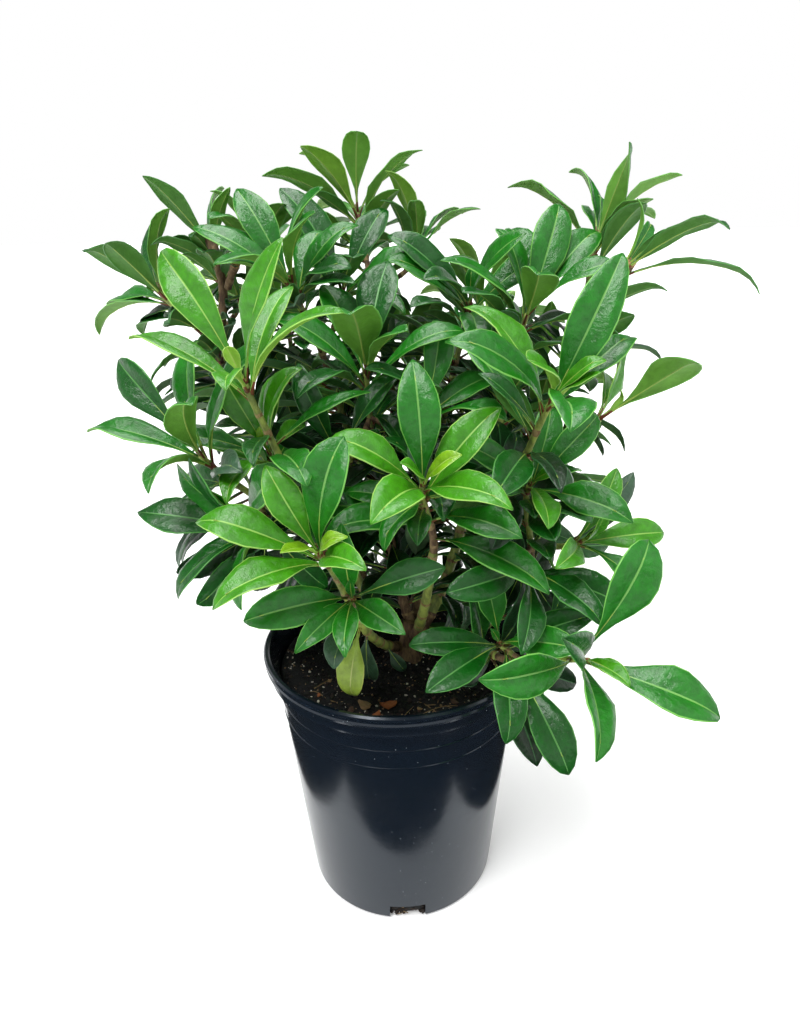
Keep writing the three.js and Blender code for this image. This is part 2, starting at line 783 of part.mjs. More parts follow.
// Each limb is cut clear of the trunk and of the limbs made before it.
const keptClear = [trunkSolid(gap)];
for (const [name, run] of Object.entries(limbRuns)) {
  const cut = keptClear.reduce((limb, other) => limb.subtract(other), limbSolid(run));
  solids[name] = largest(cut);
  keptClear.push(limbSolid(run, gap));
  add(name, solids[name], 'stem');
}

// Each mass is one solid: its twigs, with the leaves that clear every other node fused on.
const overlaps = (a, b) => a.intersect(b).volume() > 0;
const parts = {};
for (const [name, twigs] of Object.entries(twigRuns)) {
  parts[name] = twigs.map((run) => rodAlong(run.curve, taper(run.footRadius, twig.tipRadius), 3, 3));
}
for (const leaf of leaves) {
  const solid = leafSolid(leaf);
  const foreign = Object.keys(parts).filter((name) => name !== leaf.mass).flatMap((name) => parts[name]);
  const blocked = [...Object.values(solids), ...foreign].some((other) => overlaps(solid, other));
  if (!blocked) parts[leaf.mass].push(solid);
}
for (const [name, list] of Object.entries(parts)) {
  add(name, largest(wasm.Manifold.union(list)), 'leaf');
}

export default plant;
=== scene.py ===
import math
import bmesh
import bpy
import numpy as np
from mathutils import Euler, Matrix, Vector, noise


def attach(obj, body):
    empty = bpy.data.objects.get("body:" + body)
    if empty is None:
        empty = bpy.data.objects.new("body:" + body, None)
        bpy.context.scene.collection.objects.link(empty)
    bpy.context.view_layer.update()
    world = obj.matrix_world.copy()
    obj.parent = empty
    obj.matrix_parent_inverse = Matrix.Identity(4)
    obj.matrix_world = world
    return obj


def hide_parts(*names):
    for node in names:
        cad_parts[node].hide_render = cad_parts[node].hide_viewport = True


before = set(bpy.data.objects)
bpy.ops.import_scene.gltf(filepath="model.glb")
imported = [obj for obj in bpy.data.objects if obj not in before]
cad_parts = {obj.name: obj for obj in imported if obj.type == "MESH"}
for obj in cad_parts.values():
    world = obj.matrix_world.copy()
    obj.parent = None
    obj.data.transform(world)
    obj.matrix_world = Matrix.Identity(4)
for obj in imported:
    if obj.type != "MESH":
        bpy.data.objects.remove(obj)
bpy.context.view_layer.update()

noise.seed_set(7)  # so the uneven bark is the same on every run
mm = 0.001  # growing is worked out in millimetres, pieces are made in metres
print("frame loaded:", len(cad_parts), "nodes")


def paint(code):
    # a colour such as "3f7a22" as Blender's linear red, green, blue and alpha
    parts = [int(code[i:i + 2], 16) / 255 for i in (0, 2, 4)]
    return (*[c / 12.92 if c <= 0.04045 else ((c + 0.055) / 1.055) ** 2.4 for c in parts], 1)


def drawer(seed):
    # evenly spread numbers from a seed, the same on every run
    wrap, factor, shift = 2 ** 32, 1664525, 1013904223
    state = (seed + 17) * 2654435761 % wrap

    def draw(low=0.0, high=1.0):
        nonlocal state
        state = (state * factor + shift) % wrap
        return low + (high - low) * state / wrap
    return draw


def mix(first, second, angle):
    # the first direction turned by an angle towards the second
    angle = np.asarray(angle, float)[..., None]
    return first * np.cos(angle) + second * np.sin(angle)


def between(pair, share):
    return pair[0] + (pair[1] - pair[0]) * share


def unit(v):
    return v / np.linalg.norm(v)


def facesOf(verts):
    # the faces round some vertices, each once and always in the same order
    return list(dict.fromkeys(face for v in verts for face in v.link_faces))


def setSlot(verts, index):
    for face in facesOf(verts):
        face.material_index = index


def newPiece(bm, name, materials):
    mesh = bpy.data.meshes.new(name)
    bm.to_mesh(mesh)
    bm.free()
    for material in materials:
        mesh.materials.append(material)
    piece = bpy.data.objects.new(name, mesh)
    bpy.context.scene.collection.objects.link(piece)
    return piece


def finishPiece(bm, name, materials, nodes=(), smooth=True):
    # a piece that rides on the plant and may stand for solids
    for face in bm.faces:
        face.smooth = smooth
    piece = newPiece(bm, name, materials)
    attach(piece, "root")
    if nodes:
        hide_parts(*nodes)
    return piece


def closeUp(bm):
    # welds seams, fills open ends and turns faces outwards
    bmesh.ops.remove_doubles(bm, verts=bm.verts, dist=1e-6)
    openEdges = [e for e in bm.edges if e.is_boundary]
    if openEdges:
        bmesh.ops.holes_fill(bm, edges=openEdges, sides=0)
    bmesh.ops.recalc_face_normals(bm, faces=bm.faces)


def lathe(profile, steps):
    # spins a profile of radius and height in mm round the upright axis
    bm = bmesh.new()
    line = [bm.verts.new((r * mm, 0, z * mm)) for r, z in profile]
    edges = [bm.edges.new(pair) for pair in zip(line, line[1:])]
    bmesh.ops.spin(bm, geom=line + edges, cent=(0, 0, 0), axis=(0, 0, 1), dvec=(0, 0, 0), angle=2 * math.pi,
                   steps=steps, use_merge=True, use_duplicate=False)
    bmesh.ops.remove_doubles(bm, verts=bm.verts, dist=1e-6)
    bmesh.ops.recalc_face_normals(bm, faces=bm.faces)
    return bm


gap = 0.3
trunk = {"foot": [9, 2, 186.3], "tip": [12, 1, 217], "radii": [13, 7], "flare": 2.4}
pot = {"height": 204, "rimRadius": 100, "rimLip": 5, "soilTop": 186, "leafRoom": 4}
leafShape = {
    "stations": [0, 0.34, 0.68, 1],
    "outline": [0.04, 0.75, 0.95, 0],
    "widthShare": 0.3,
    "fold": 0.24,  # how steeply each half of the blade rises from the midrib
}
twig = {
    "boughFoot": 0.985,  # share of a stem where its boughs leave it
    "tipRadius": 1.9,
    "leaving": [0.15, 0.4],  # share of the mass's own stem where its other twigs leave it
    "thinner": 0.8,
    "ahead": 0.3,  # how long the first twig keeps its limb's way, as a share of its reach
    "turnIn": [0.35, 0.45],  # and how long the first and the others run straight into their whorl
    "bare": 0.12,  # share of a twig at its foot that has no leaves
    "rootDepth": 0.4,
    "rootSpacing": 2.2,  # between one leaf's root and the next in a whorl
    "topRoot": 1.2,
}
whorl = {
    "rise": [20, 56],  # from the lowest leaf of a whorl to its highest
    "lengths": [1.04, 0.9],
    "droop": [62, 40],
    "twist": 14,
    "openingSize": 0.5,
    "openingRise": 12,
    "angleSpread": 5,
    "sizeSpread": [0.93, 1.05],
    "droopSpread": 8,
}
oldLeaves = {"count": 4, "below": [22, 58], "rise": [2, 22], "lengths": [0.72, 0.95], "droop": [34, 62],
             "twist": 16}
oldSpread = 12  # how far an older leaf may turn from its bearing, in degrees
# Leaves of the finer twigs: more old ones, and small ones in the heart of each whorl.
finerLeaves = {
    "old": {"below": [10, 90], "rise": [-4, 30], "lengths": [0.5, 0.86], "droop": [20, 50], "twist": 18},
    "heart": {"count": 1, "rise": [62, 78], "lengths": [0.26, 0.42], "droop": [14, 30], "twist": 10},
    "inner": {"count": 45, "below": [2, 84], "rise": [-6, 40], "lengths": [0.6, 1.0], "droop": [24, 54],
              "twist": 18},  # deep in the crown, on the boughs and the hidden stems
}
hiddenStems = ["stem_middle", "stem_back", "stem_back_left", "stem_back_low"]
# the leaves deep in the crown take a low tone, so their darker colour is painted shade
innerShoot = {"length": 80, "slim": 1, "tone": 0.38}
lowShoot = {"slim": 1.25, "droop": 40}
# Single leaves low on the stems: share of the stem, bearing round it, lift, length and tone; the Shaded tone
# of those deep in the crown is painted shade.
lowLeaves = {
    "stem_front_left": [[0.85, 0, -28, 51, "Fading"], [0.97, 2, 11, 42, "Dull"], [0.72, 2, -50, 43, "Dull"],
                        [0.3, 20, -40, 24, "Dull"]],
    "stem_right_low": [[0.3, 112, -10, 36, "Dull"], [0.6, 190, 55, 42, "Dull"]],
    "stem_right": [[0.3, 13, 17, 36, "Shaded"], [0.45, 60, 20, 50, "Shaded"], [0.4, 260, 2, 54, "Shaded"],
                   [0.7, 258, 15, 60, "Shaded"]],
    "stem_left": [[0.9, 348, -25, 48, "Deep"], [0.6, 20, -10, 50, "Shaded"]],
    "stem_middle": [[0.5, 117, -5, 64, "Shaded"], [0.7, 136, -31, 60, "Shaded"],
                    [0.8, 118, -3, 74, "Shaded"], [0.9, 136, 10, 70, "Shaded"]],
}
openSpace = [(-30, -100, 205), (44, -22, 330)]  # finer leaves keep out of this box, so the front stems show

limbs = {  # where each starts, a point or the stem it leaves, its tip, and its radii there
    "stem_front": [[12, -3, 204], [25, -50, 296], [4, 2.8]],
    "stem_front_left": [[2, 2, 194], [-27, -66, 262], [3.8, 2.7]],
    "stem_right_low": [[17, -1, 198], [50, -34, 222], [4.6, 3.4]],
    "stem_left": [[6, 3, 208], [-38, -8, 282], [4.2, 3.1]],
    "stem_right": [[17, 3, 206], [50, 14, 290], [4.6, 3.4]],
    "stem_middle": [[11, 3, 212], [-8, 22, 312], [4.2, 3.1]],
    "stem_back": [[14, 6, 208], [22, 62, 306], [4.2, 3.1]],
    "stem_back_left": [[6, 6, 202], [-52, 58, 290], [4.2, 3.1]],
    "stem_back_low": [[10, 8, 197], [20, 62, 246], [3.8, 2.8]],
    "bough_low_right": ["stem_right_low", [66, -66, 226], [3, 2.5]],
    "bough_right": ["stem_right_low", [88, -38, 268], [3, 2.5]],
    "bough_left": ["stem_left", [-74, -22, 310], [3, 2.5]],
    "bough_left_front": ["stem_left", [-66, -48, 352], [2.9, 2.4]],
    "bough_right_front": ["stem_right", [80, -36, 344], [3, 2.5]],
    "bough_right_upper": ["stem_right", [84, 38, 380], [3, 2.4]],
    "bough_top_right": ["stem_right", [136, 56, 410], [3, 2.4]],
    "bough_right_back": ["stem_right", [82, 50, 304], [3, 2.4]],
    "bough_middle": ["stem_middle", [-14, 12, 352], [2.9, 2.4]],
    "bough_upper_left": ["stem_middle", [-46, 58, 396], [3, 2.4]],
    "bough_top": ["stem_back", [-10, 118, 430], [3, 2.4]],
    "bough_upper_middle": ["stem_back", [48, 82, 384], [3, 2.4]],
    "bough_back": ["stem_back", [62, 130, 350], [3, 2.4]],
    "bough_far_left": ["stem_back_left", [-132, 88, 404], [3, 2.4]],
    "bough_back_left": ["stem_back_left", [-82, 122, 346], [3, 2.4]],
}


# A shoot is the heart of its whorl, the way it faces [bearing, rise], its leaves' length, and where they
# stand round it: degrees from straight down, the lowest leaf first, or [around, lift, share of the length,
# twist]. An old leaf ends with its distance below the whorl instead. The tone is how light its leaves are,
# from 0 to 1, slim how narrow they are, and finer counts the finer old ones.
def shoot(heart, faces, length, leaves, young=0, old=None, slim=1, finer=18, tone=0.45):
    return {"heart": heart, "faces": faces, "length": length, "leaves": leaves, "young": young, "old": old,
            "slim": slim, "finer": finer, "tone": tone}


def spiral(count, first):
    return [(first + 137.5 * i) % 360 for i in range(count)]


masses = {
    "foliage_front": ["stem_front",
        shoot([17, -80, 352], [-85, 50], 88, [[128, 36, 0.85], [251, 37, 0.85], [183, 40, 0.95],
            [321, 42, 0.85], [44, 43, 0.85], 85, 290], young=2, tone=0.74, old=[[66, 2, 1.0, 52],
            [318, 34, 0.9, 46], [292, 20, 1.15, 40], [80, 26, 0.9, 36]]),
        shoot([22, -22, 326], [-60, 60], 74, spiral(5, 60), tone=0.3)],
    "foliage_front_left": ["stem_front_left",
        shoot([-42, -110, 323], [-112, 45], 86, [[318, 35, 0.9, -15], [269, 39, 0.95, -25], [73, 45, 0.75],
            [160, 48, 0.95], [226, 55, 0.75], [347, 71, 0.5], 120], young=2, finer=0, tone=0.76, old=[]),
        shoot([-26, -94, 286], [-95, 35], 64, [[289, 33, 1.15], 110, [322, 38, 0.85], [57, 40, 0.85], 0,
            200], finer=3)],
    "foliage_low_right": ["bough_low_right",
        shoot([106, -125, 260], [-68, 28], 90, [[265, 24, 0.95], [143, 26, 0.95], [52, 36, 0.95, 30],
            [330, 39, 0.75, 20], [241, 50, 0.75], 10], young=1, finer=0, tone=0.52, old=[]),
        shoot([66, -72, 240], [-95, 42], 76, [[25, 8, 1.15], [0, 29, 0.95, 25], 100, [277, 33, 0.95],
            [301, 35, 1.05], 70, [197, 46, 0.75]], finer=5, tone=0.4, old=[150, 250])],
    "foliage_right": ["bough_right",
        shoot([87, -42, 337], [-78, 42], 80, [[174, 32, 0.85], [271, 33, 0.75], [249, 37, 0.95],
            [126, 38, 0.85], 40, [346, 44, 0.75], 80], young=2, tone=0.55),
        shoot([116, -62, 305], [-60, 35], 76, [[78, 27, 0.85], [228, 31, 0.95], [143, 37, 0.75],
            [284, 37, 0.75], [8, 40, 0.75], 190], young=1, tone=0.66),
        shoot([84, -64, 288], [-70, 25], 72, [270, 60, 320, 160, 20], tone=0.3)],
    "foliage_left": ["bough_left",
        shoot([-120, -40, 362], [-145, 55], 86, [[40, 36, 0.8], 160, [304, 41, 0.95, -30], 210,
            [105, 49, 0.85, 30], [260, 49, 0.98, 35]], tone=0.5, old=[200, 300]),
        shoot([-79, -24, 356], [-125, 58], 72, [[278, 28, 0.75, -15], [91, 33, 0.75], 20, [181, 45, 0.85],
            320, 140, 235], tone=0.75),
        shoot([-85, -58, 318], [-135, 30], 84, [100, [40, 25, 0.8, -25], [346, 35, 0.85, -15],
            [285, 43, 0.95, -30], [230, 50, 0.8, 35], 160])],
    "foliage_left_front": ["bough_left_front",
        shoot([-82, -70, 412], [-115, 65], 91, [[266, 27, 0.95, -30], [176, 28, 0.85], 100, [32, 37, 0.75],
            [237, 45, 1.05, 35], 140], slim=0.84, finer=4, tone=0.76, old=[60, 150])],
    "foliage_middle": ["bough_middle",
        shoot([-16, 12, 400], [-95, 72], 84, [310, 100, [263, 41, 0.95], 210, [167, 46, 1.05],
            [41, 49, 0.85], [1, 52, 1.15]], tone=0.5),
        shoot([-34, -22, 352], [-120, 50], 74, spiral(5, 20), tone=0.4),
        shoot([22, -2, 372], [-50, 60], 76, spiral(5, 100), tone=0.4)],
    "foliage_upper_left": ["bough_upper_left",
        shoot([-68, 58, 458], [-110, 62], 84, [[172, 29, 0.75], [133, 34, 0.85], [263, 36, 1.05],
            [219, 37, 1.05], 350, [317, 41, 0.75], 65, 100], tone=0.5),
        shoot([-34, 88, 448], [-65, 62], 82, [200, 20, 290, 70, [130, 45, 0.95], 340, [227, 43, 1.1]])],
    "foliage_far_left": ["bough_far_left",
        shoot([-170, 90, 450], [165, 48], 76, [[356, 26, 1.05], 330, [113, 31, 0.95, 20],
            [92, 34, 0.95, 35], [185, 39, 0.85], [250, 48, 1.0]], tone=0.42, old=[[317, 25, 0.9, 30], 100,
            220]),
        shoot([-132, 112, 478], [140, 55], 68, [30, 70, 290, [197, 40, 0.75], [110, 55, 1.05, 25], 250],
            tone=0.5),
        shoot([-100, 122, 472], [60, 70], 66, spiral(7, 180), tone=0.5)],
    "foliage_right_front": ["bough_right_front",
        shoot([94, -62, 396], [-68, 52], 92, [[211, 27, 0.95], [114, 29, 0.85, 30], [247, 30, 0.95], 330,
            [140, 49, 1.05], [282, 51, 0.75], 70], young=2, finer=3, tone=0.56, old=[200, 300]),
        shoot([142, 4, 367], [5, 35], 84, [[102, 28, 0.85], 130, [250, 42, 1.05, -35]], finer=0, tone=0.7,
            old=[120])],
    "foliage_right_upper": ["bough_right_upper",
        shoot([97, 45, 433], [-50, 66], 84, [[238, 31, 1.05], [20, 26, 0.9, 20], [160, 41, 1.0],
            [180, 46, 0.9], [301, 47, 0.95], [99, 48, 1.05], [133, 54, 1.05], 60], tone=0.5)],
    "foliage_top_right": ["bough_top_right",
        shoot([154, 88, 482], [35, 66], 80, [[130, 25, 1.08, 15], [254, 35, 0.75, -20], [225, 45, 1.0, 95],
            50, [356, 43, 0.85], 310, 95], finer=4, tone=0.6, old=[200, 130]),
        shoot([154, 22, 462], [-5, 55], 100, [[334, 30, 0.95], [283, 36, 0.95, -20], 90, 190], young=2,
            slim=0.6, finer=0, tone=0.3, old=[])],
    "foliage_right_back": ["bough_right_back",
        shoot([108, 78, 336], [48, 45], 74, spiral(6, 150), tone=0.4),
        shoot([112, 34, 312], [10, 30], 66, spiral(5, 140), tone=0.35)],
    "foliage_top": ["bough_top",
        shoot([-23, 150, 505], [110, 66], 76, [[227, 36, 1.05, -15], [93, 31, 1.15], 320, 20,
            [124, 38, 0.95, 15], [263, 39, 0.85], [173, 42, 0.86], 70], tone=0.66,
            old=[[115, 22, 0.9, 40], 200, 320, 60]),
        shoot([26, 142, 478], [75, 66], 68, [60, [288, 43, 1.0, -20], [185, 37, 0.75], 0, 120, 320, 30],
            finer=5, tone=0.6, old=[60, 180])],
    "foliage_upper_middle": ["bough_upper_middle",
        shoot([60, 80, 436], [-92, 52], 82, [120, 0, [238, 36, 1.05], [262, 38, 0.95], 60, 310], tone=0.5)],
    "foliage_back": ["bough_back",
        shoot([84, 172, 420], [65, 55], 80, spiral(7, 170), tone=0.6),
        shoot([120, 138, 368], [40, 40], 78, spiral(6, 150), tone=0.5),
        shoot([20, 170, 372], [95, 40], 78, spiral(6, 190), tone=0.55)],
    "foliage_back_left": ["bough_back_left",
        shoot([-88, 168, 416], [120, 55], 80, spiral(7, 180), tone=0.65),
        shoot([-104, 134, 350], [150, 40], 78, spiral(6, 160), tone=0.5),
        shoot([-44, 150, 340], [110, 35], 74, spiral(6, 150), tone=0.5)],
    "foliage_back_low": ["stem_back_low",
        shoot([18, 120, 290], [95, 32], 76, spiral(7, 170), tone=0.55),
        shoot([72, 98, 282], [50, 30], 72, spiral(6, 150)),
        shoot([-38, 104, 276], [125, 28], 70, spiral(6, 160), tone=0.5)],
}


class Curve:
    # a Bezier curve of three or four points
    def __init__(self, *points):
        self.points = np.array(points, float)

    def at(self, t):
        t = np.asarray(t, float)[..., None]
        rest = list(self.points)
        while len(rest) > 1:
            rest = [a * (1 - t) + b * t for a, b in zip(rest, rest[1:])]
        return rest[0]

    def ahead(self, t):
        step = 0.0001
        d = self.at(np.minimum(t + step, 1)) - self.at(np.maximum(t - step, 0))
        return d / np.linalg.norm(d, axis=-1, keepdims=True)

    def length(self):
        points = self.at(np.linspace(0, 1, 201))
        return np.linalg.norm(np.diff(points, axis=0), axis=1).sum()


def limbCurve(foot, tip):
    # a stem leaves its foot outwards and turns up towards its tip
    share = np.array([0.62, 0.62, 0.34])
    return Curve(foot, foot + (tip - foot) * share, tip)


def facing(bearing, rise):
    b, r = math.radians(bearing), math.radians(rise)
    return np.array([math.cos(b) * math.cos(r), math.sin(b) * math.cos(r), math.sin(r)])


def makeLeaf(foot, axis, around, lift, length, bend, twist, slim):
    down = unit(np.array([0, 0, -1.0]) + axis * axis[2])
    side = np.cross(axis, down)
    tilt = math.radians(lift + bend / 2)
    out = mix(down, side, math.radians(around))
    along = mix(out, axis, tilt)
    face = mix(axis, -out, tilt)
    root = foot + along * twig["rootDepth"] * twig["tipRadius"]
    return {"root": root, "along": along, "face": face, "across": np.cross(along, face), "length": length,
            "slim": slim, "bend": math.radians(bend), "twist": math.radians(twist)}


def leafPoint(leaf, t, side, halfWidth, height=0.0):
    # t runs along the blade, side from -1 to 1 across it; all may be arrays
    t, side, halfWidth, height = np.broadcast_arrays(t, side, halfWidth, height)
    turned = leaf["bend"] * t
    normal = mix(leaf["face"], leaf["along"], turned)
    edge = mix(leaf["across"], normal, leaf["twist"] * t)
    up = mix(normal, -leaf["across"], leaf["twist"] * t)
    reach = leaf["length"] / leaf["bend"]
    rise = np.abs(side) * halfWidth * leafShape["fold"] + height
    return (leaf["root"] + leaf["along"] * (reach * np.sin(turned))[..., None]
            - leaf["face"] * (reach * (1 - np.cos(turned)))[..., None]
            + edge * (side * halfWidth)[..., None] + up * rise[..., None])


netFaces = [(0, 1, 2), (0, 2, 3), (1, 4, 5), (1, 5, 2), (2, 5, 6), (2, 6, 3), (4, 7, 5), (5, 7, 6)]
netLook = {"larger": 1.1, "start": 0.12, "end": 1.02, "reach": 0.62}


def leafNet(leaf):
    # the blade as a net of eight triangles, a little larger than life, to test it against its neighbours
    widest = 0.5 * leafShape["widthShare"] * leaf["length"] * leaf["slim"] * netLook["larger"]
    stations, outline = leafShape["stations"], leafShape["outline"]
    t = np.array([netLook["start"]] + [stations[1]] * 3 + [stations[2]] * 3 + [netLook["end"]])
    side = np.array([0, -1, 0, 1, -1, 0, 1, 0])
    half = np.array([0] + [outline[1] * widest] * 3 + [outline[2] * widest] * 3 + [0])
    corners = leafPoint(leaf, t, side, half)
    faces = corners[np.array(netFaces)]
    edges = np.concatenate([faces[:, [0, 1]], faces[:, [1, 2]], faces[:, [2, 0]]])
    return {"corners": corners, "faces": faces, "edges": edges, "middle": (corners[2] + corners[5]) / 2,
            "reach": netLook["reach"] * leaf["length"]}


def segmentsHit(edges, faces):
    # whether any of the segments goes through any of the triangles
    start, step = edges[:, None, 0], edges[:, None, 1] - edges[:, None, 0]
    corner = faces[None, :, 0]
    e1, e2 = faces[None, :, 1] - corner, faces[None, :, 2] - corner
    h = np.cross(step, e2)
    det = (e1 * h).sum(-1)
    sound = np.abs(det) > 1e-12
    det = np.where(sound, det, 1)
    s = start - corner
    u = (s * h).sum(-1) / det
    q = np.cross(s, e1)
    v = (step * q).sum(-1) / det
    t = (e2 * q).sum(-1) / det
    return bool((sound & (u >= 0) & (v >= 0) & (u + v <= 1) & (t >= 0) & (t <= 1)).any())


def hitsPot(net):
    clear = pot["leafRoom"]
    tests = np.concatenate([net["corners"], net["faces"].mean(1)])
    out = np.hypot(tests[:, 0], tests[:, 1])
    inside = (tests[:, 2] < pot["soilTop"] + clear) & (out < pot["rimRadius"])
    rim = np.abs(out - pot["rimRadius"] + pot["rimLip"]) < pot["rimLip"] + clear
    return bool((inside | (rim & (tests[:, 2] < pot["height"] + clear))).any())


def inTheOpen(net):
    low, high = openSpace
    return bool(((net["corners"] > low) & (net["corners"] < high)).all(1).any())


def growLimbs():
    runs = {}
    for name, (start, tip, radii) in limbs.items():
        onStem = isinstance(start, str)
        foot = runs[start]["curve"].at(twig["boughFoot"]) if onStem else np.array(start, float)
        runs[name] = {"curve": limbCurve(foot, np.array(tip, float)), "radii": radii}
    return runs


def growTwigs(runs):
    # the first twig of a mass leaves its limb, and the others leave that twig
    grown = []
    for carrier, *shoots in masses.values():
        limb = runs[carrier]
        ahead = limb["curve"].ahead(1.0)
        main = None
        for each in shoots:
            draw = drawer(len(grown) + 1)
            heart, axis = np.array(each["heart"], float), facing(*each["faces"])
            foot = main.at(draw(*twig["leaving"])) if main else limb["curve"].at(1.0) + ahead * gap
            radius = limb["radii"][1] * (twig["thinner"] if main else 1)
            reach = np.linalg.norm(heart - foot)
            first, other = twig["turnIn"]
            if main:
                curve = Curve(foot, heart - axis * other * reach, heart)
            else:
                curve = main = Curve(foot, foot + ahead * twig["ahead"] * reach, heart - axis * first * reach,
                                     heart)
            grown.append({"shoot": each, "curve": curve, "axis": axis, "draw": draw,
                          "radii": [radius, twig["tipRadius"]]})
    return grown


crownLook = {
    "limbSteps": 10,
    "twigSteps": 8,
    "nearWood": 20,  # how far beyond its own reach a leaf looks for wood
    "woodRoom": 1,
    # how far a leaf without room may turn and lift, one try after another
    "nudges": [[0, 0], [8, 5], [-8, -5], [16, 10], [-16, -8], [24, 14], [-24, -12]],
}


class Crown:
    # the leaves so far, and the wood that each new one has to miss
    def __init__(self, limbRuns, twigRuns):
        points, radii, before, owner = [], [], [], []
        chains = [(run, crownLook["limbSteps"]) for run in limbRuns]
        chains += [(run, crownLook["twigSteps"]) for run in twigRuns]
        for number, (run, steps) in enumerate(chains):
            line = run["curve"].at(np.linspace(0, 1, steps + 1))
            points += list(line)
            before += [line[0]] + list(line[:-1])
            radii += list(between(run["radii"], np.linspace(0, 1, steps + 1)))
            owner += [number] * (steps + 1)
            run["number"] = number
        self.points, self.before = np.array(points), np.array(before)
        self.radii, self.owner = np.array(radii), np.array(owner)
        self.leaves, self.middles, self.reaches = [], [], []

    def hasRoom(self, net, own):
        if hitsPot(net):
            return False
        away = np.linalg.norm(self.points - net["middle"], axis=1)
        near = (away <= net["reach"] + crownLook["nearWood"]) & (self.owner != own)
        apart = np.linalg.norm(self.points[near][:, None] - net["corners"][None], axis=2)
        if (apart < self.radii[near][:, None] + crownLook["woodRoom"]).any():
            return False
        if near.any() and segmentsHit(np.stack([self.before[near], self.points[near]], axis=1), net["faces"]):
            return False
        if not self.leaves:
            return True
        away = np.linalg.norm(np.array(self.middles) - net["middle"], axis=1)
        close = np.flatnonzero(away <= np.array(self.reaches) + net["reach"])
        others = [self.leaves[i]["net"] for i in close]
        if not others:
            return True
        return not (segmentsHit(net["edges"], np.concatenate([o["faces"] for o in others]))
                    or segmentsHit(np.concatenate([o["edges"] for o in others]), net["faces"]))

    def place(self, run, foot, axis, stand, **facts):
        # a leaf stands at its bearing, lift, length, bend and twist, and is left out if it finds no room
        around, lift, length, bend, twist = stand
        for turn, tilt in crownLook["nudges"]:
            leaf = makeLeaf(foot, axis, around + turn, lift + tilt, length, bend, twist, run["shoot"]["slim"])
            net = leafNet(leaf)
            if facts["age"] == 3 and "tone" not in facts and inTheOpen(net):
                continue
            if self.hasRoom(net, run["number"]):
                self.leaves.append({**leaf, **facts, "net": net, "shoot": run["shoot"]})
                self.middles.append(net["middle"])
                self.reaches.append(net["reach"])
                return

    def placeWhorl(self, run):
        # the whorl at the end of a shoot opens from its lowest leaf to its highest
        draw, each, curve = run["draw"], run["shoot"], run["curve"]
        last, long, spread = len(each["leaves"]) - 1, curve.length(), whorl["angleSpread"]
        for i, stand in enumerate(each["leaves"]):
            share, opening, given = i / last, i > last - each["young"], isinstance(stand, list)
            around = (0 if given else stand) + draw(-spread, spread)
            lift = between(whorl["rise"], share) + draw(-spread, spread)
            lift += whorl["openingRise"] if opening else 0
            size = each["length"] * between(whorl["lengths"], share) * draw(*whorl["sizeSpread"])
            size *= whorl["openingSize"] if opening else 1
            bend = between(whorl["droop"], share) + draw(-whorl["droopSpread"], whorl["droopSpread"])
            twist = draw(-whorl["twist"], whorl["twist"])
            if given:
                around, lift, size = stand[0], stand[1], each["length"] * stand[2]
                twist = stand[3] if len(stand) > 3 else twist
            back = twig["topRoot"] + twig["rootSpacing"] * (last - i)
            self.place(run, curve.at(1 - back / long), run["axis"], (around, lift, size, bend, twist),
                       age=0 if opening else 1)

    def placeOld(self, run, rule, bearings, age):
        # older leaves lower on a twig, spread flatter and drooping more
        draw, curve, full = run["draw"], run["curve"], run["shoot"]["length"]
        for stand in bearings:
            given = isinstance(stand, list)
            below = draw(*rule["below"])
            around = (0 if given else stand) + draw(-oldSpread, oldSpread)
            lift, size, bend = draw(*rule["rise"]), full * draw(*rule["lengths"]), draw(*rule["droop"])
            twist = draw(-rule["twist"], rule["twist"])
            if given:
                around, lift, size, below = stand[0], stand[1], full * stand[2], stand[3]
            t = 1 - below / curve.length()
            if t > twig["bare"]:
                self.place(run, curve.at(t), curve.ahead(t), (around, lift, size, bend, twist), age=age)

    def placeHearts(self, run, rule):
        draw = run["draw"]
        for around in spiral(rule["count"], draw(0, 360)):
            lift, size = draw(*rule["rise"]), run["shoot"]["length"] * draw(*rule["lengths"])
            stand = (around, lift, size, draw(*rule["droop"]), draw(-rule["twist"], rule["twist"]))
            self.place(run, run["curve"].at(1.0), run["axis"], stand, age=0)


def growLeaves(limbRuns, twigRuns):
    # the leaves that show first, then the finer ones where there is room
    crown = Crown(limbRuns.values(), twigRuns)
    for run in twigRuns:
        crown.placeWhorl(run)
    for run in twigRuns:
        old = run["shoot"]["old"]
        if old is None:
            old = spiral(oldLeaves["count"], run["draw"](0, 360))
        crown.placeOld(run, oldLeaves, old, 2)
    for run in twigRuns:
        crown.placeHearts(run, finerLeaves["heart"])
    for name, stands in lowLeaves.items():
        run = {**limbRuns[name], "shoot": lowShoot}
        for t, around, lift, length, tone in stands:
            stand = (around, lift, length, lowShoot["droop"], 0)
            crown.place(run, run["curve"].at(t), run["curve"].ahead(t), stand, age=3, tone=tone)
    for run in twigRuns:
        crown.placeOld(run, finerLeaves["old"], spiral(run["shoot"]["finer"], run["draw"](0, 360)), 3)
    rule = finerLeaves["inner"]
    for i, (name, run) in enumerate(limbRuns.items()):
        inner = {**run, "shoot": innerShoot, "draw": drawer(300 + i)}
        if name.startswith("bough") or name in hiddenStems:
            crown.placeOld(inner, rule, spiral(rule["count"], inner["draw"](0, 360)), 3)
    return crown.leaves


limbRuns = growLimbs()
twigRuns = growTwigs(limbRuns)
leaves = growLeaves(limbRuns, twigRuns)
print("grown:", len(limbRuns), "limbs,", len(twigRuns), "twigs,", len(leaves), "leaves")


def shaderOf(material):
    return material.node_tree.nodes["Principled BSDF"]


def newMaterial(name, colour, roughness, **settings):
    material = bpy.data.materials.new(name)
    material.use_nodes = True
    material.diffuse_color = colour
    for key, value in {"Base Color": colour, "Roughness": roughness, **settings}.items():
        shaderOf(material).inputs[key].default_value = value
    return material


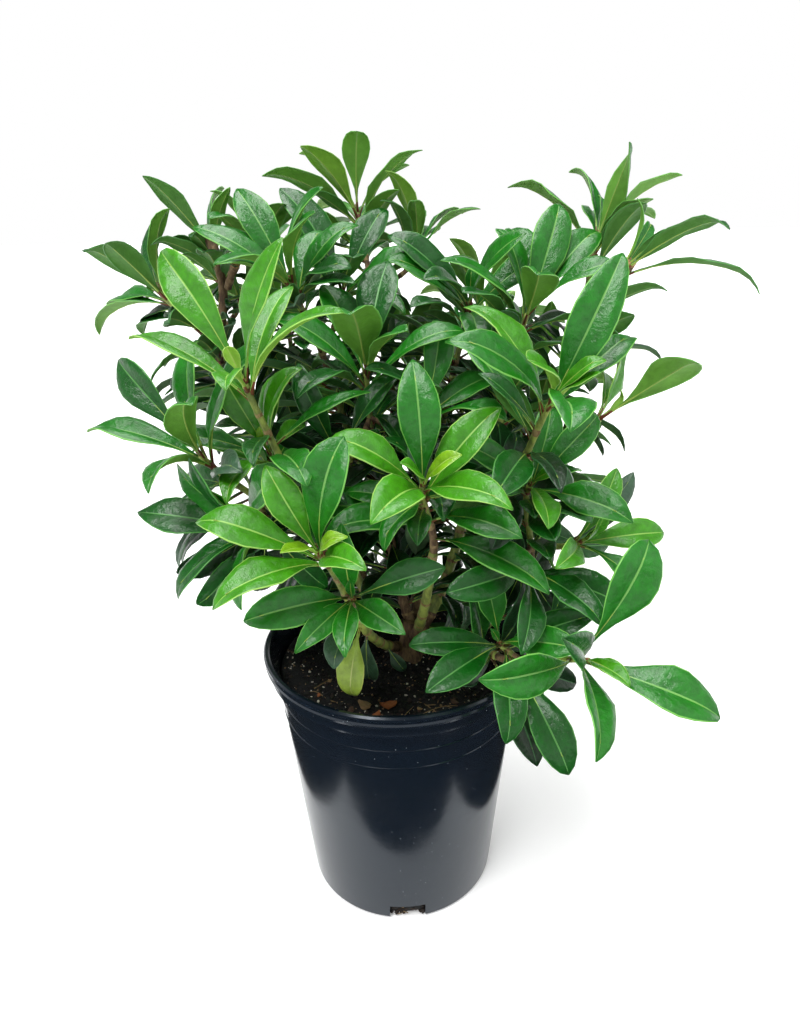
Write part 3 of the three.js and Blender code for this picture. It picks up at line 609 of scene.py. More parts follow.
def nodeIn(material, kind, **values):
    node = material.node_tree.nodes.new(f"ShaderNode{kind}")
    for key, value in values.items():
        if key in node.inputs:
            node.inputs[key].default_value = value
        else:
            setattr(node, key, value)
    return node


def join(material, start, end):
    material.node_tree.links.new(start, end)


def maths(material, operation, *values):
    # a math node on sockets and plain numbers
    node = nodeIn(material, "Math", operation=operation)
    for socket, value in zip(node.inputs, values):
        if isinstance(value, bpy.types.NodeSocket):
            join(material, value, socket)
        else:
            socket.default_value = value
    return node.outputs["Value"]


def noiseOn(material, scale, detail=3, roughness=0.55, stretch=(1, 1, 1)):
    # a noise pattern fixed on the piece, per metre
    place = nodeIn(material, "TexCoord")
    mapping = nodeIn(material, "Mapping", Scale=stretch)
    pattern = nodeIn(material, "TexNoise", Scale=scale, Detail=detail, Roughness=roughness)
    join(material, place.outputs["Object"], mapping.inputs["Vector"])
    join(material, mapping.outputs["Vector"], pattern.inputs["Vector"])
    return pattern.outputs["Fac"]


def rampOn(material, source, stops, socket):
    ramp = nodeIn(material, "ValToRGB")
    for element, (position, colour) in zip(ramp.color_ramp.elements, stops):
        element.position = position
        element.color = colour
    join(material, source, ramp.inputs["Fac"])
    join(material, ramp.outputs["Color"], shaderOf(material).inputs[socket])


def bumpOn(material, height, strength, distance, after=None):
    bump = nodeIn(material, "Bump", Strength=strength, Distance=distance)
    join(material, height, bump.inputs["Height"])
    if after:
        join(material, after.outputs["Normal"], bump.inputs["Normal"])
    join(material, bump.outputs["Normal"], shaderOf(material).inputs["Normal"])
    return bump


def grainy(name, code, roughness, pattern, strength, distance):
    # a plain colour over a fine bumpy grain
    material = newMaterial(name, paint(code), roughness)
    bumpOn(material, noiseOn(material, *pattern), strength, distance)
    return material


leafLook = {
    "rows": [0, 0.09, 0.17, 0.27, 0.38, 0.5, 0.61, 0.71, 0.8, 0.885, 0.955, 1],
    "sides": [-1, -0.94, -0.5, -0.045, 0.045, 0.5, 0.94, 1],
    "ribEdge": 0.03,  # faces within this share of the half width are midrib
    "rimEdge": 0.94,  # and beyond this one margin
    "stalk": 0.08,  # share of the length that is leaf stalk
    "stalkHalfWidth": 0.9,
    "tipHalfWidth": 0.5,
    "widthShare": 0.305,  # of the length
    "widthSpread": [0.86, 1.12],
    "widestAt": [0.52, 0.68],  # of the blade
    "stalkEnd": 1.25,  # how fast it narrows towards the stalk
    "tipEnd": [0.56, 0.86],  # and towards the tip, where a lower number is blunter
    "thickness": 0.5,
    "crown": 0.2,  # how far each half of the blade bulges, as a share of its half width
    "groove": 0.5,  # depth of the groove over the midrib
    "wave": 0.13,  # of the margins, as a share of the half width
    "waveSpread": [0.3, 1.6],
    "waves": [1.3, 2.6],
    "waveShift": 1.7,  # between the two margins
    "flatter": [-0.2, 0.8],  # how much the fold opens towards the tip
    "steeper": 0.1,  # and how much it closes at the stalk
    "hook": 4,  # how far the tip turns down
    "hookFrom": 0.76,
    "hookSpread": [-0.1, 1.6],
}
leafFinish = {
    "blade": {"roughness": 0.31, "mottling": 0.2, "relief": 0.5},
    "underside": {"roughness": 0.6, "mottling": 0.1, "relief": 0.3},
    "mottling": (150, 5, 0.62),
    "mottlingStops": (0.36, 0.64),
    "grain": (380, 3, 0.6),
    "veins": 72,
    "veinSlant": -0.34,
    "veinHeight": 0.03,
    "veinRelief": 0.0021,
    "grainRelief": 0.00055,
}
# Each tone has its blade, midrib, margin, underside and the underside's midrib; each underside is its own
# paler green made lighter still, as painted light shining through the leaf.
leafTones = {
    "Young": ["709f16", "a4c85a", "b4d86a", "88b838", "9dba58"],
    "Fresh": ["39820d", "84b44e", "92c258", "74a632", "8cac50"],
    "Grown": ["15680d", "649c48", "6cae4a", "5f9630", "7ba055"],
    "Deep": ["074e0b", "4c8840", "4a8c3c", "4a802e", "678f54"],
    # the Shaded tone is painted shade: the darkest green, for leaves deep in the crown
    "Shaded": ["022a07", "2e5f33", "2a5f30", "38682c", "527843"],
    "Dull": ["33533a", "647f5c", "4a6a4a", "5b7a54", "708463"],
    "Fading": ["86a03c", "a9b567", "a4b455", "84963f", "a0aa62"],
}
toneRule = {
    "ageAndShade": [0.12, 0, -0.2, -0.32],  # opening leaves are lighter, old ones darker, and the finer ones deep in the crown darker still as painted shade
    "spread": 0.12,
    "dullShare": 0.08,  # of the old leaves
    "least": {"Young": 0.88, "Fresh": 0.66, "Grown": 0.42, "Deep": 0.16},
}


def bladeMaterial(name, code, finish):
    material = newMaterial(name, paint(code), finish["roughness"])
    colour, change = np.array(paint(code)[:3]), finish["mottling"]
    pattern = noiseOn(material, *leafFinish["mottling"])
    low, high = leafFinish["mottlingStops"]
    stops = [(low, (*(colour * (1 - change)), 1)), (high, (*np.minimum(colour * (1 + change), 1), 1))]
    rampOn(material, pattern, stops, "Base Color")
    soft = bumpOn(material, sideVeins(material, pattern), finish["relief"], leafFinish["veinRelief"])
    grain = noiseOn(material, *leafFinish["grain"])
    bumpOn(material, grain, finish["relief"], leafFinish["grainRelief"], after=soft)
    return material


def sideVeins(material, pattern):
    # veins leave the midrib forwards in pairs; the piece's own map has them level across
    place = nodeIn(material, "UVMap", uv_map="blade")
    apart = nodeIn(material, "SeparateXYZ")
    join(material, place.outputs["UV"], apart.inputs["Vector"])
    side = maths(material, "ABSOLUTE", maths(material, "SUBTRACT", apart.outputs["X"], 0.5))
    slanted = maths(material, "MULTIPLY_ADD", side, leafFinish["veinSlant"], apart.outputs["Y"])
    waves = maths(material, "SINE", maths(material, "MULTIPLY", slanted, leafFinish["veins"]))
    return maths(material, "MULTIPLY_ADD", waves, leafFinish["veinHeight"], pattern)


def leafMaterials(tone):
    # the last three are for the underside, in the same order
    # the underside colour is partly the underside's own paler green and partly painted light shining through
    # the leaf
    blade, midrib, margin, under, underRib = leafTones[tone]
    ribs = [grainy(f"{name}{tone}", code, roughness, (300, 2), 0.1, 0.0004) for name, code, roughness in
            (("leafMidrib", midrib, 0.42), ("leafMidribUnder", underRib, 0.6), ("leafMargin", margin, 0.42))]
    return [bladeMaterial(f"leafBlade{tone}", blade, leafFinish["blade"]), ribs[0], ribs[2],
            bladeMaterial(f"leafUnderside{tone}", under, leafFinish["underside"]), ribs[1], ribs[2]]


def bladeOutline(t, widestAt, tipEnd):
    # half width as a share of the widest: a narrow stalk, then an oval that is widest past its middle
    stalk = leafLook["stalk"]
    u = np.clip((t - stalk) / (1 - stalk), 0, 1)
    power = math.log(0.5) / math.log(widestAt)
    return np.sin(math.pi * u ** power).clip(0, 1) ** np.where(u < widestAt, leafLook["stalkEnd"], tipEnd)


def addLeaf(bm, bladeMap, leaf, draw):
    # one blade from a grid, bent and folded into place
    look, rows, sides = leafLook, np.array(leafLook["rows"]), np.array(leafLook["sides"])
    along, across = len(rows) - 1, len(sides) - 1
    made = bmesh.ops.create_grid(bm, x_segments=along, y_segments=across, size=1)["verts"]
    t = rows[[round((v.co.x + 1) / 2 * along) for v in made]]
    side = sides[[round((v.co.y + 1) / 2 * across) for v in made]]
    out = np.abs(side)
    widest = 0.5 * look["widthShare"] * leaf["length"] * leaf["slim"] * draw(*look["widthSpread"])
    outline = bladeOutline(t, draw(*look["widestAt"]), draw(*look["tipEnd"]))
    half = np.maximum(outline * widest, np.where(t < 0.5, look["stalkHalfWidth"], look["tipHalfWidth"]))
    height = look["crown"] * half * (4 * out * (1 - out))
    height -= look["groove"] * (out < 0.1) * np.sin(math.pi * t)
    phase, waves = draw(0, 6.3), draw(*look["waves"])
    ripple = np.sin(2 * math.pi * waves * t + phase + (side > 0) * look["waveShift"])
    height += look["wave"] * draw(*look["waveSpread"]) * widest * ripple * out ** 2 * np.sin(math.pi * t)
    height -= leafShape["fold"] * out * half * (draw(*look["flatter"]) * t - look["steeper"])
    tip = np.clip((t - look["hookFrom"]) / (1 - look["hookFrom"]), 0, 1)
    height -= look["hook"] * draw(*look["hookSpread"]) * tip ** 2
    for v, co in zip(made, leafPoint(leaf, t, side, half, height) * mm):
        v.co = co
    faces = facesOf(made)
    bmesh.ops.reverse_faces(bm, faces=faces)
    where = {v: (0.5 + s / 2, u) for v, s, u in zip(made, side, t)}
    for face in faces:
        middle = abs(sum(where[v][0] for v in face.verts) / 4 - 0.5) * 2
        face.material_index = 1 if middle < look["ribEdge"] else 2 if middle > look["rimEdge"] else 0
        for loop in face.loops:
            loop[bladeMap].uv = where[loop.vert]


def toneOf(leaf, draw):
    # how light a leaf is: its shoot's tone, lighter while it opens, darker as it ages, and darker still deep
    # in the crown as painted shade
    if "tone" in leaf:
        return leaf["tone"]
    spread = toneRule["spread"]
    light = leaf["shoot"]["tone"] + toneRule["ageAndShade"][leaf["age"]] + draw(-spread, spread)
    if leaf["age"] >= 2 and draw() < toneRule["dullShare"]:
        return "Dull"
    return next((tone for tone, least in toneRule["least"].items() if light > least), "Shaded")


def buildLeaves():
    meshes = {tone: bmesh.new() for tone in leafTones}
    maps = {tone: bm.loops.layers.uv.new("blade") for tone, bm in meshes.items()}
    draw = drawer(900)
    for leaf in leaves:
        tone = toneOf(leaf, draw)
        addLeaf(meshes[tone], maps[tone], leaf, draw)
    for tone, bm in meshes.items():
        piece = finishPiece(bm, f"leaves{tone}", leafMaterials(tone), nodes=list(masses))
        skin = piece.modifiers.new("blade thickness", "SOLIDIFY")
        skin.thickness = leafLook["thickness"] * mm
        skin.offset = -1
        skin.material_offset = 3
        print(piece.name, len(piece.data.polygons), "faces")


buildLeaves()


def rodAlong(bm, curve, radiusAt, sides, rings, slotAt=None):
    # a grid wrapped round a curve; its seam is welded when the piece is closed up
    made = bmesh.ops.create_grid(bm, x_segments=rings, y_segments=sides, size=1)["verts"]
    ring = np.array([round((v.co.x + 1) / 2 * rings) for v in made])
    turn = np.array([round((v.co.y + 1) / 2 * sides) * 2 * math.pi / sides for v in made])
    line, ahead = curve.at(np.linspace(0, 1, rings + 1)), curve.ahead(np.linspace(0, 1, rings + 1))
    side = np.array([0, 1.0, 0]) if abs(ahead[0][0]) > 0.9 else np.array([1.0, 0, 0])
    frames = []
    for way in ahead:
        side = unit(side - way * side.dot(way))
        frames.append((side, np.cross(side, way)))
    frames = np.array(frames)[ring]
    radius = np.array([radiusAt(i / rings) for i in range(rings + 1)])[ring]
    place = line[ring] + frames[:, 0] * (np.cos(turn) * radius)[:, None]
    place = place + frames[:, 1] * (np.sin(turn) * radius)[:, None]
    for v, co in zip(made, place * mm):
        v.co = co
    if slotAt:
        share = dict(zip(made, ring / rings))
        for face in facesOf(made):
            face.material_index = slotAt(sum(share[v] for v in face.verts) / 4)
    return made


woodLook = {
    "materials": {  # light and dark colour, scale of the pattern, roughness and relief
        "barkBrown": ("826b4b", "4c3727", 240, 0.8, 0.8),
        "barkOlive": ("93a24a", "626e33", 200, 0.55, 0.5),
        "barkKnuckle": ("a08a5e", "6d5634", 300, 0.8, 0.9),
        "barkRed": ("7a4030", "45241a", 260, 0.6, 0.5),
        "cutWood": ("c09a6c", "7f5c3a", 500, 0.85, 0.9),
    },
    "brownLimbs": ["stem_back_left", "bough_far_left", "bough_middle", "stem_middle", "bough_top_right"],
    "brownFoot": 0.25,  # share of each stem that is brown above its foot
    "woody": [0.15, 0.5],  # the same for a twig
    "redFrom": 0.8,  # share of a twig beyond which its knuckles are red
    "barkRidge": 0.5,
    "rootRidges": 5,
    "rootSwell": 0.9,
    "rootHeight": 16,
    "knuckles": {"first": (4, 14), "apart": (9, 24), "swell": (0.5, 1.0), "width": 1.6},
    # sides and rings of a rod, how much its knuckles swell, and how close and high its uneven spots are
    "limb": {"sides": 14, "ringEvery": 2.2, "least": 12, "swell": 0.75, "knots": 260, "uneven": 0.28},
    "twig": {"sides": 9, "ringEvery": 2.4, "least": 10, "swell": 0.5, "knots": 300, "uneven": 0.15},
    "stub": {"sides": 12, "rings": 18, "knots": 240, "uneven": 0.9, "cutFrom": 0.94},
    "stubs": [  # pruned stubs among the leaves: foot, knee and tip of each, and its radii
        {"line": [[-132, 88, 404], [-112, 82, 456], [-134, 100, 494]], "radii": [2.4, 4.2]},
        {"line": [[-118, 84, 452], [-114, 78, 460], [-108, 70, 470]], "radii": [2.6, 3.2]},
        {"line": [[146, 40, 438], [154, 28, 452], [158, 20, 468]], "radii": [3, 4.4]},
        {"line": [[150, 60, 440], [150, 64, 456], [145, 62, 470]], "radii": [2.6, 3.4]},
    ],
}


def barkMaterial(name, light, dark, scale, roughness, relief):
    material = newMaterial(name, paint(light), roughness)
    pattern = noiseOn(material, scale, 5, 0.65, (1, 1, 0.35))
    rampOn(material, pattern, [(0.4, paint(dark)), (0.62, paint(light))], "Base Color")
    bumpOn(material, pattern, relief, 0.0012)
    return material


woodMaterials = [barkMaterial(name, *finish) for name, finish in woodLook["materials"].items()]
brown, olive, knuckle, red, cutEnd = range(len(woodMaterials))


def jointed(run, look, draw):
    # the rings and taper of a run with a swollen knuckle every centimetre or two
    length, rule = run["curve"].length(), woodLook["knuckles"]
    spots, at = [], draw(*rule["first"])
    while at < length - 2:
        spots.append((at / length, draw(*rule["swell"]) * look["swell"]))
        at += draw(*rule["apart"])
    width = rule["width"] / length

    def radiusAt(t):
        return between(run["radii"], t) + sum(h * math.exp(-((t - spot) / width) ** 2) for spot, h in spots)

    def onKnuckle(t, share):
        return any(abs(t - spot) < share * width for spot, _ in spots)
    return max(look["least"], int(length / look["ringEvery"])), radiusAt, onKnuckle


def addTrunk(bm):
    foot, tip = np.array(trunk["foot"]) - (0, 0, 2), np.array(trunk["tip"], float)
    middle = (foot + tip) / 2
    made = rodAlong(bm, Curve(foot, middle, tip),
                    lambda t: between(trunk["radii"], 1 - (1 - t) ** trunk["flare"]), 40, 26)
    for v in made:
        # ridges of bark and the first of the roots
        out = Vector((v.co.x - middle[0] * mm, v.co.y - middle[1] * mm, 0))
        turn = math.atan2(out.y, out.x)
        low = max(0, 1 - (v.co.z / mm - pot["soilTop"]) / woodLook["rootHeight"])
        roots = woodLook["rootSwell"] * low * math.sin(woodLook["rootRidges"] * turn + 1)
        v.co += out.normalized() * mm * (roots + woodLook["barkRidge"] * noise.noise(v.co * 220))


def addRod(bm, curve, radiusAt, rings, look, slotAt):
    for v in rodAlong(bm, curve, radiusAt, look["sides"], rings, slotAt):
        v.co += noise.noise_vector(v.co * look["knots"]) * mm * look["uneven"]


def addLimb(bm, name, run, draw):
    rings, radiusAt, onKnuckle = jointed(run, woodLook["limb"], draw)

    def slotAt(t):
        atFoot = t < woodLook["brownFoot"] and name.startswith("stem")
        return knuckle if onKnuckle(t, 0.6) else brown if atFoot or name in woodLook["brownLimbs"] else olive
    addRod(bm, run["curve"], radiusAt, rings, woodLook["limb"], slotAt)


def addTwig(bm, run, draw):
    rings, radiusAt, onKnuckle = jointed(run, woodLook["twig"], draw)
    woody = draw(*woodLook["woody"])

    def slotAt(t):
        if onKnuckle(t, 1):
            return knuckle if t < woodLook["redFrom"] else red
        return brown if t < woody else olive
    addRod(bm, run["curve"], radiusAt, rings, woodLook["twig"], slotAt)


def addStub(bm, stub):
    look = woodLook["stub"]
    addRod(bm, Curve(*stub["line"]), lambda t: between(stub["radii"], t), look["rings"], look,
           lambda t: cutEnd if t > look["cutFrom"] else brown)


def buildWood():
    draw = drawer(41)
    bm = bmesh.new()
    addTrunk(bm)
    for name, run in limbRuns.items():
        addLimb(bm, name, run, draw)
    for stub in woodLook["stubs"]:
        addStub(bm, stub)
    closeUp(bm)
    finishPiece(bm, "woodyStems", woodMaterials, nodes=["trunk", *limbRuns])
    bm = bmesh.new()
    for run in twigRuns:
        addTwig(bm, run, draw)
    closeUp(bm)
    finishPiece(bm, "leafyTwigs", woodMaterials, nodes=list(masses))


stalkLook = {
    "green": "93b04c",
    "red": "74402a",
    "redEnd": 0.09,  # share of the midrib that is red, at the stalk's foot
    "reach": 0.86,  # share of the leaf that the midrib runs under
    "sink": [0.62, 0.37],  # its depth under the blade, from foot to tip
    "radius": [0.25, 0.85],  # at the tip, and how much more at the foot
    "taper": 2.2,
}


class MidribLine:
    # the line of a leaf's midrib, just under its blade
    def __init__(self, leaf):
        self.leaf = leaf

    def at(self, t):
        t = np.asarray(t, float)
        return leafPoint(self.leaf, t * stalkLook["reach"], 0, 0, -between(stalkLook["sink"], t))

    def ahead(self, t):
        d = self.at(np.minimum(t + 0.01, 1)) - self.at(np.maximum(t - 0.01, 0))
        return d / np.linalg.norm(d, axis=-1, keepdims=True)


def buildStalks():
    # a round stalk that runs on under the blade as its raised midrib
    materials = [grainy("stalkPale", stalkLook["green"], 0.45, (400, 2), 0.2, 0.0005),
                 grainy("stalkRed", stalkLook["red"], 0.5, (400, 2), 0.2, 0.0005)]
    tip, more = stalkLook["radius"]
    bm = bmesh.new()
    for leaf in leaves:
        rodAlong(bm, MidribLine(leaf), lambda t: tip + more * (1 - t) ** stalkLook["taper"], 5, 7,
                 lambda t: int(t < stalkLook["redEnd"]))
    closeUp(bm)
    finishPiece(bm, "leafStalks", materials, nodes=list(masses))


budLook = {
    "greenish": "7c8a36",
    "reddish": "6e3626",
    "redShare": 0.6,
    "beside": 3,  # smaller buds beside the pointed one
    "sizes": [(1.9, 2.4), (1.1, 1.6)],  # of the middle one and those beside it
    "lean": (0.3, 0.7),
    "slim": 0.62,
    "pointed": 1.7,
    "rise": 1.6,
}


def buildBuds():
    # a pointed bud in the heart of each whorl, with smaller ones beside it
    materials = [grainy("budScales", budLook["greenish"], 0.5, (500, 2), 0.3, 0.0005),
                 grainy("budScalesRed", budLook["reddish"], 0.5, (500, 2), 0.3, 0.0005)]
    bm = bmesh.new()
    draw = drawer(77)
    slim, rise = budLook["slim"], Matrix.Translation((0, 0, budLook["rise"]))
    for run in twigRuns:
        axis, tip = Vector(run["axis"]), Vector(run["curve"].at(1.0))
        upright = axis.to_track_quat("Z", "Y").to_matrix().to_4x4()
        stand = Matrix.Scale(mm, 4) @ Matrix.Translation(tip) @ upright
        for i in range(1 + budLook["beside"]):
            size = draw(*budLook["sizes"][min(i, 1)])
            lean = draw(*budLook["lean"]) if i else 0
            turn = Euler((0, lean, i * 2.1 + draw(0, 0.8)), "ZYX").to_matrix().to_4x4()
            made = bmesh.ops.create_uvsphere(bm, u_segments=8, v_segments=6, radius=1)["verts"]
            for v in made:
                high = size * (budLook["pointed"] if v.co.z > 0 else 1)
                v.co = (v.co.x * size * slim, v.co.y * size * slim, v.co.z * high)
            bmesh.ops.transform(bm, matrix=stand @ turn @ rise, verts=made)
            for face in facesOf(made):
                face.material_index = 1 if draw() < budLook["redShare"] else 0
    finishPiece(bm, "whorlBuds", materials, nodes=list(masses))


buildWood()
buildStalks()
buildBuds()
print("twigs, stalks and buds made")


potLook = {
    "profile": [  # outside and then inside, from the axis up and back: radius and height in mm
        (0, 1.6), (60, 1.6), (66, 0), (71.2, 0), (73, 1.6), (73.6, 7), (74.9, 20), (75.8, 30), (80.6, 80),
        (85.4, 130), (87.7, 153.6), (88.3, 154), (88.35, 154.6), (87.9, 155.1), (89.2, 168.8), (89.8, 169.2),
        (89.85, 169.8), (89.4, 170.3), (90.4, 182.6), (90.8, 184), (92, 184.8), (94.6, 185), (95.9, 185.8),
        (96.3, 187.4), (95.8, 189.2), (95.9, 192.8), (96.4, 193.9), (97.6, 194.3), (98.9, 195.1),
        (99.4, 196.8), (98.7, 198.2), (98.8, 199.4), (99.8, 200.8), (99.8, 202.6), (98.6, 203.9),
        (96.6, 203.9), (95.4, 202.9), (94.4, 199.4), (90.4, 193.4), (89.6, 190), (80, 92), (74, 31),
        (71.9, 8), (71.4, 3), (0, 3),
    ],
    "steps": 128,
    "sharpOver": 28,
    "slots": 4, "slotTurn": -88, "slotWidth": 27, "slotHeight": 13, "slotDepth": 22, "footRadius": 73,
    "belowFoot": 4,  # how far the slots' cutters reach below the foot
    "black": "0d1620", "dust": "8f979c",
    "cloudy": [(0.35, 0.12), (0.75, 0.26)],  # where the gloss changes, and its roughness there
    "specks": [0.03, 0.055],
}


def plasticMaterial():
    look, black = potLook, paint(potLook["black"])
    mirrored = {"Specular IOR Level": 0.6, "Specular Tint": (0.84, 0.92, 1, 1)}
    material = newMaterial("blackPlastic", black, 0.2, **mirrored)
    stops = [(position, (level, level, level, 1)) for position, level in look["cloudy"]]
    rampOn(material, noiseOn(material, 16, 4, 0.6), stops, "Roughness")
    # dust in fine specks over the black
    specks = nodeIn(material, "TexVoronoi", Scale=170.0, Randomness=1.0)
    join(material, nodeIn(material, "TexCoord").outputs["Object"], specks.inputs["Vector"])
    rampOn(material, specks.outputs["Distance"], list(zip(look["specks"], (paint(look["dust"]), black))),
           "Base Color")
    bumpOn(material, noiseOn(material, 60), 0.05, 0.002)
    return material


def slotTurns(size):
    # how far each drain slot is turned round the pot
    return [Matrix.Rotation(math.radians(potLook["slotTurn"] + 360 * k / potLook["slots"]), size, "Z")
            for k in range(potLook["slots"])]


def buildPot():
    shell = finishPiece(lathe(potLook["profile"], potLook["steps"]), "nurseryPot", [plasticMaterial()],
                        nodes=["pot"])
    # drain slots cut through the foot of the wall
    cutters = bmesh.new()
    below = potLook["belowFoot"]
    high = potLook["slotHeight"] + below
    size = Matrix.Diagonal((potLook["slotDepth"], potLook["slotWidth"], high, 1))
    out = Matrix.Translation((potLook["footRadius"], 0, high / 2 - below))
    for turn in slotTurns(4):
        cube = bmesh.ops.create_cube(cutters, size=1)["verts"]
        bmesh.ops.transform(cutters, matrix=Matrix.Scale(mm, 4) @ turn @ out @ size, verts=cube)
    cutter = newPiece(cutters, "slotCutters", [])
    cut = shell.modifiers.new("drain slots", "BOOLEAN")
    cut.operation, cut.object, cut.solver = "DIFFERENCE", cutter, "EXACT"
    bpy.context.view_layer.update()
    done = bpy.data.meshes.new_from_object(shell.evaluated_get(bpy.context.evaluated_depsgraph_get()))
    shell.modifiers.remove(cut)
    shell.data = done
    bpy.data.objects.remove(cutter)
    done.set_sharp_from_angle(angle=math.radians(potLook["sharpOver"]))


mixLook = {
    "outer": 88.4, "rings": 64, "steps": 190,
    "relief": 1.5, "swell": 1.6, "lower": 0.6,  # height of its roughness and its swells, and how low it lies
    "colour": "0c0d10", "pale": "131417", "dark": "040506",
    "strewnWithin": 86,
    "scraps": [  # of bark and dry leaf: x, y and size in mm, and which of the chips' materials
        (-23, -62, 5.5, 1), (-15, -77, 5.2, 2), (-7, -61, 5.6, 2), (-33, -66, 3.4, 0), (-50, -30, 2.6, 1),
        (14, -66, 3, 1), (-56, -50, 2.4, 2), (38, -62, 3.2, 0),
    ],
}
strewn = {  # lumps on the mix: how many, their sizes, how flat, and how many of the colours they take
    "soilCrumbs": {"count": 1700, "sizes": (0.7, 1.9), "flat": (0.4, 0.8), "kinds": 3, "roughness": 0.85,
                   "pattern": (900, 4), "relief": (0.8, 0.001),
                   "colours": {"crumbBlack": "090a0c", "crumbUmber": "13110f", "crumbBrown": "241b15"}},
    "paleGrains": {"count": 640, "sizes": (0.4, 0.95), "flat": (0.5, 0.9), "kinds": 2, "roughness": 0.8,
                   "pattern": (900, 4), "relief": (0.6, 0.0006),
                   "colours": {"perlite": "cfc9bc", "fibreTan": "8a7256"}},
    "barkChips": {"count": 36, "sizes": (1.2, 2.4), "flat": (0.2, 0.4), "kinds": 1, "roughness": 0.8,
                  "pattern": (500, 5, 0.7, (1, 1, 3)), "relief": (0.7, 0.001),
                  "colours": {"chipBrown": "4c382a", "chipTan": "8f7350", "chipRust": "9a5a30"}},
}


def soilHeight(x, y):
    wave = math.sin(x * 0.11 + 1) * math.cos(y * 0.13) + 0.5 * math.sin(x * 0.05 - y * 0.09)
    fine = noise.fractal(Vector((x, y, 3)) * 0.16, 0.9, 2.1, 4)
    return pot["soilTop"] - mixLook["lower"] + wave * mixLook["swell"] + fine * mixLook["relief"]


def mixMaterial():
    material = newMaterial("pottingMix", paint(mixLook["colour"]), 0.9)
    pattern = noiseOn(material, 520, 6, 0.7)
    rampOn(material, pattern, [(0.42, paint(mixLook["dark"])), (0.72, paint(mixLook["pale"]))], "Base Color")
    bumpOn(material, pattern, 1.0, 0.0016)
    return material


def buildSoil():
    outer, rings, top = mixLook["outer"], mixLook["rings"], pot["soilTop"]
    surface = [(outer * (1 - k / rings), top) for k in range(1, rings + 1)]
    bm = lathe([(0, 4), (70, 4), (outer, top - 2)] + surface, mixLook["steps"])
    for v in bm.verts:
        if v.co.z > (top - 1) * mm:
            v.co.z = soilHeight(v.co.x / mm, v.co.y / mm) * mm
    finishPiece(bm, "pottingMix", [mixMaterial()], nodes=["soil"])


def roughLump(bm, draw, spread):
    made = bmesh.ops.create_icosphere(bm, subdivisions=1, radius=1)["verts"]
    for v in made:
        v.co *= draw(1 - spread, 1 + spread)
    return made


def strew(bm, look, draw):
    # rough little lumps over the mix
    for _ in range(look["count"]):
        out, turn = mixLook["strewnWithin"] * math.sqrt(draw()), draw(0, 6.283)
        x, y = out * math.cos(turn), out * math.sin(turn)
        size = draw(*look["sizes"]) * (1 if draw() < 0.8 else 1.5)
        made = roughLump(bm, draw, 0.25)
        shape = Matrix.Diagonal((size, size * draw(0.5, 1), size * draw(*look["flat"]), 1))
        spin = Euler((draw(-0.5, 0.5), draw(-0.5, 0.5), draw(0, 6.3))).to_matrix().to_4x4()
        lay = Matrix.Translation((x, y, soilHeight(x, y) + size * 0.3))
        bmesh.ops.transform(bm, matrix=Matrix.Scale(mm, 4) @ lay @ spin @ shape, verts=made)
        setSlot(made, int(draw(0, look["kinds"])))


def addScrap(bm, draw, x, y, size, slot):
    # a curled scrap of bark or dry leaf
    made = bmesh.ops.create_icosphere(bm, subdivisions=2, radius=1)["verts"]
    for v in made:
        v.co *= 1 + 0.5 * noise.noise(v.co * 1.6 + Vector((x, y, 0)))
        v.co.z = 0.3 * v.co.z + 0.3 * v.co.x * v.co.x
    lay = Matrix.Translation((x, y, soilHeight(x, y) + 0.4 * size)) @ Matrix.Rotation(draw(0, 6), 4, "Z")
    tilt = Euler((draw(-0.4, 0.4), draw(-0.4, 0.4), 0)).to_matrix().to_4x4()
    shape = Matrix.Diagonal((size, 0.6 * size, size, 1))
    bmesh.ops.transform(bm, matrix=Matrix.Scale(mm, 4) @ lay @ tilt @ shape, verts=made)
    setSlot(made, slot)


def buildLitter():
    draw = drawer(500)
    for name, look in strewn.items():
        materials = [grainy(kind, code, look["roughness"], look["pattern"], *look["relief"])
                     for kind, code in look["colours"].items()]
        bm = bmesh.new()
        strew(bm, look, draw)
        if name == "barkChips":
            for scrap in mixLook["scraps"]:
                addScrap(bm, draw, *scrap)
        finishPiece(bm, name, materials, smooth=False)


rootLook = {
    "colours": [("rootTan", "7d6847", 0.8), ("rootBrown", "3c2c20", 0.85), ("slotMix", "1d1612", 0.95)],
    "onTop": [  # fine roots on the mix: x, y, bearing and length
        (10, -76, 20, 32), (22, -72, 70, 24), (30, -78, 130, 26), (18, -62, -30, 28), (0, -80, 60, 20),
        (-60, -40, 40, 26), (-44, -56, 150, 22),
    ],
    "radius": 0.42,
    "slotRoots": 16,
    "slotRadius": 0.5,
    "slotLumps": 46,
    "lumpSizes": (1.2, 2.6),
    "above": 0.3,  # the lowest that a lump reaches
}


def addRoot(bm, draw, x, y, turn, long):
    way = np.array([math.cos(math.radians(turn)), math.sin(math.radians(turn)), 0])
    start, side = np.array([x, y, 0.0]), np.array([-way[1], way[0], 0])
    bends = [start + way * long * share + side * draw(-7, 7) for share in (0.4, 0.7)]
    line, lifts = [start, *bends, start + way * long], [0.4, draw(1, 3), draw(0.4, 2), 0.2]
    line = [p + (0, 0, soilHeight(p[0], p[1]) + lift) for p, lift in zip(line, lifts)]
    rodAlong(bm, Curve(*line), lambda t: rootLook["radius"] - 0.2 * t, 5, 14)


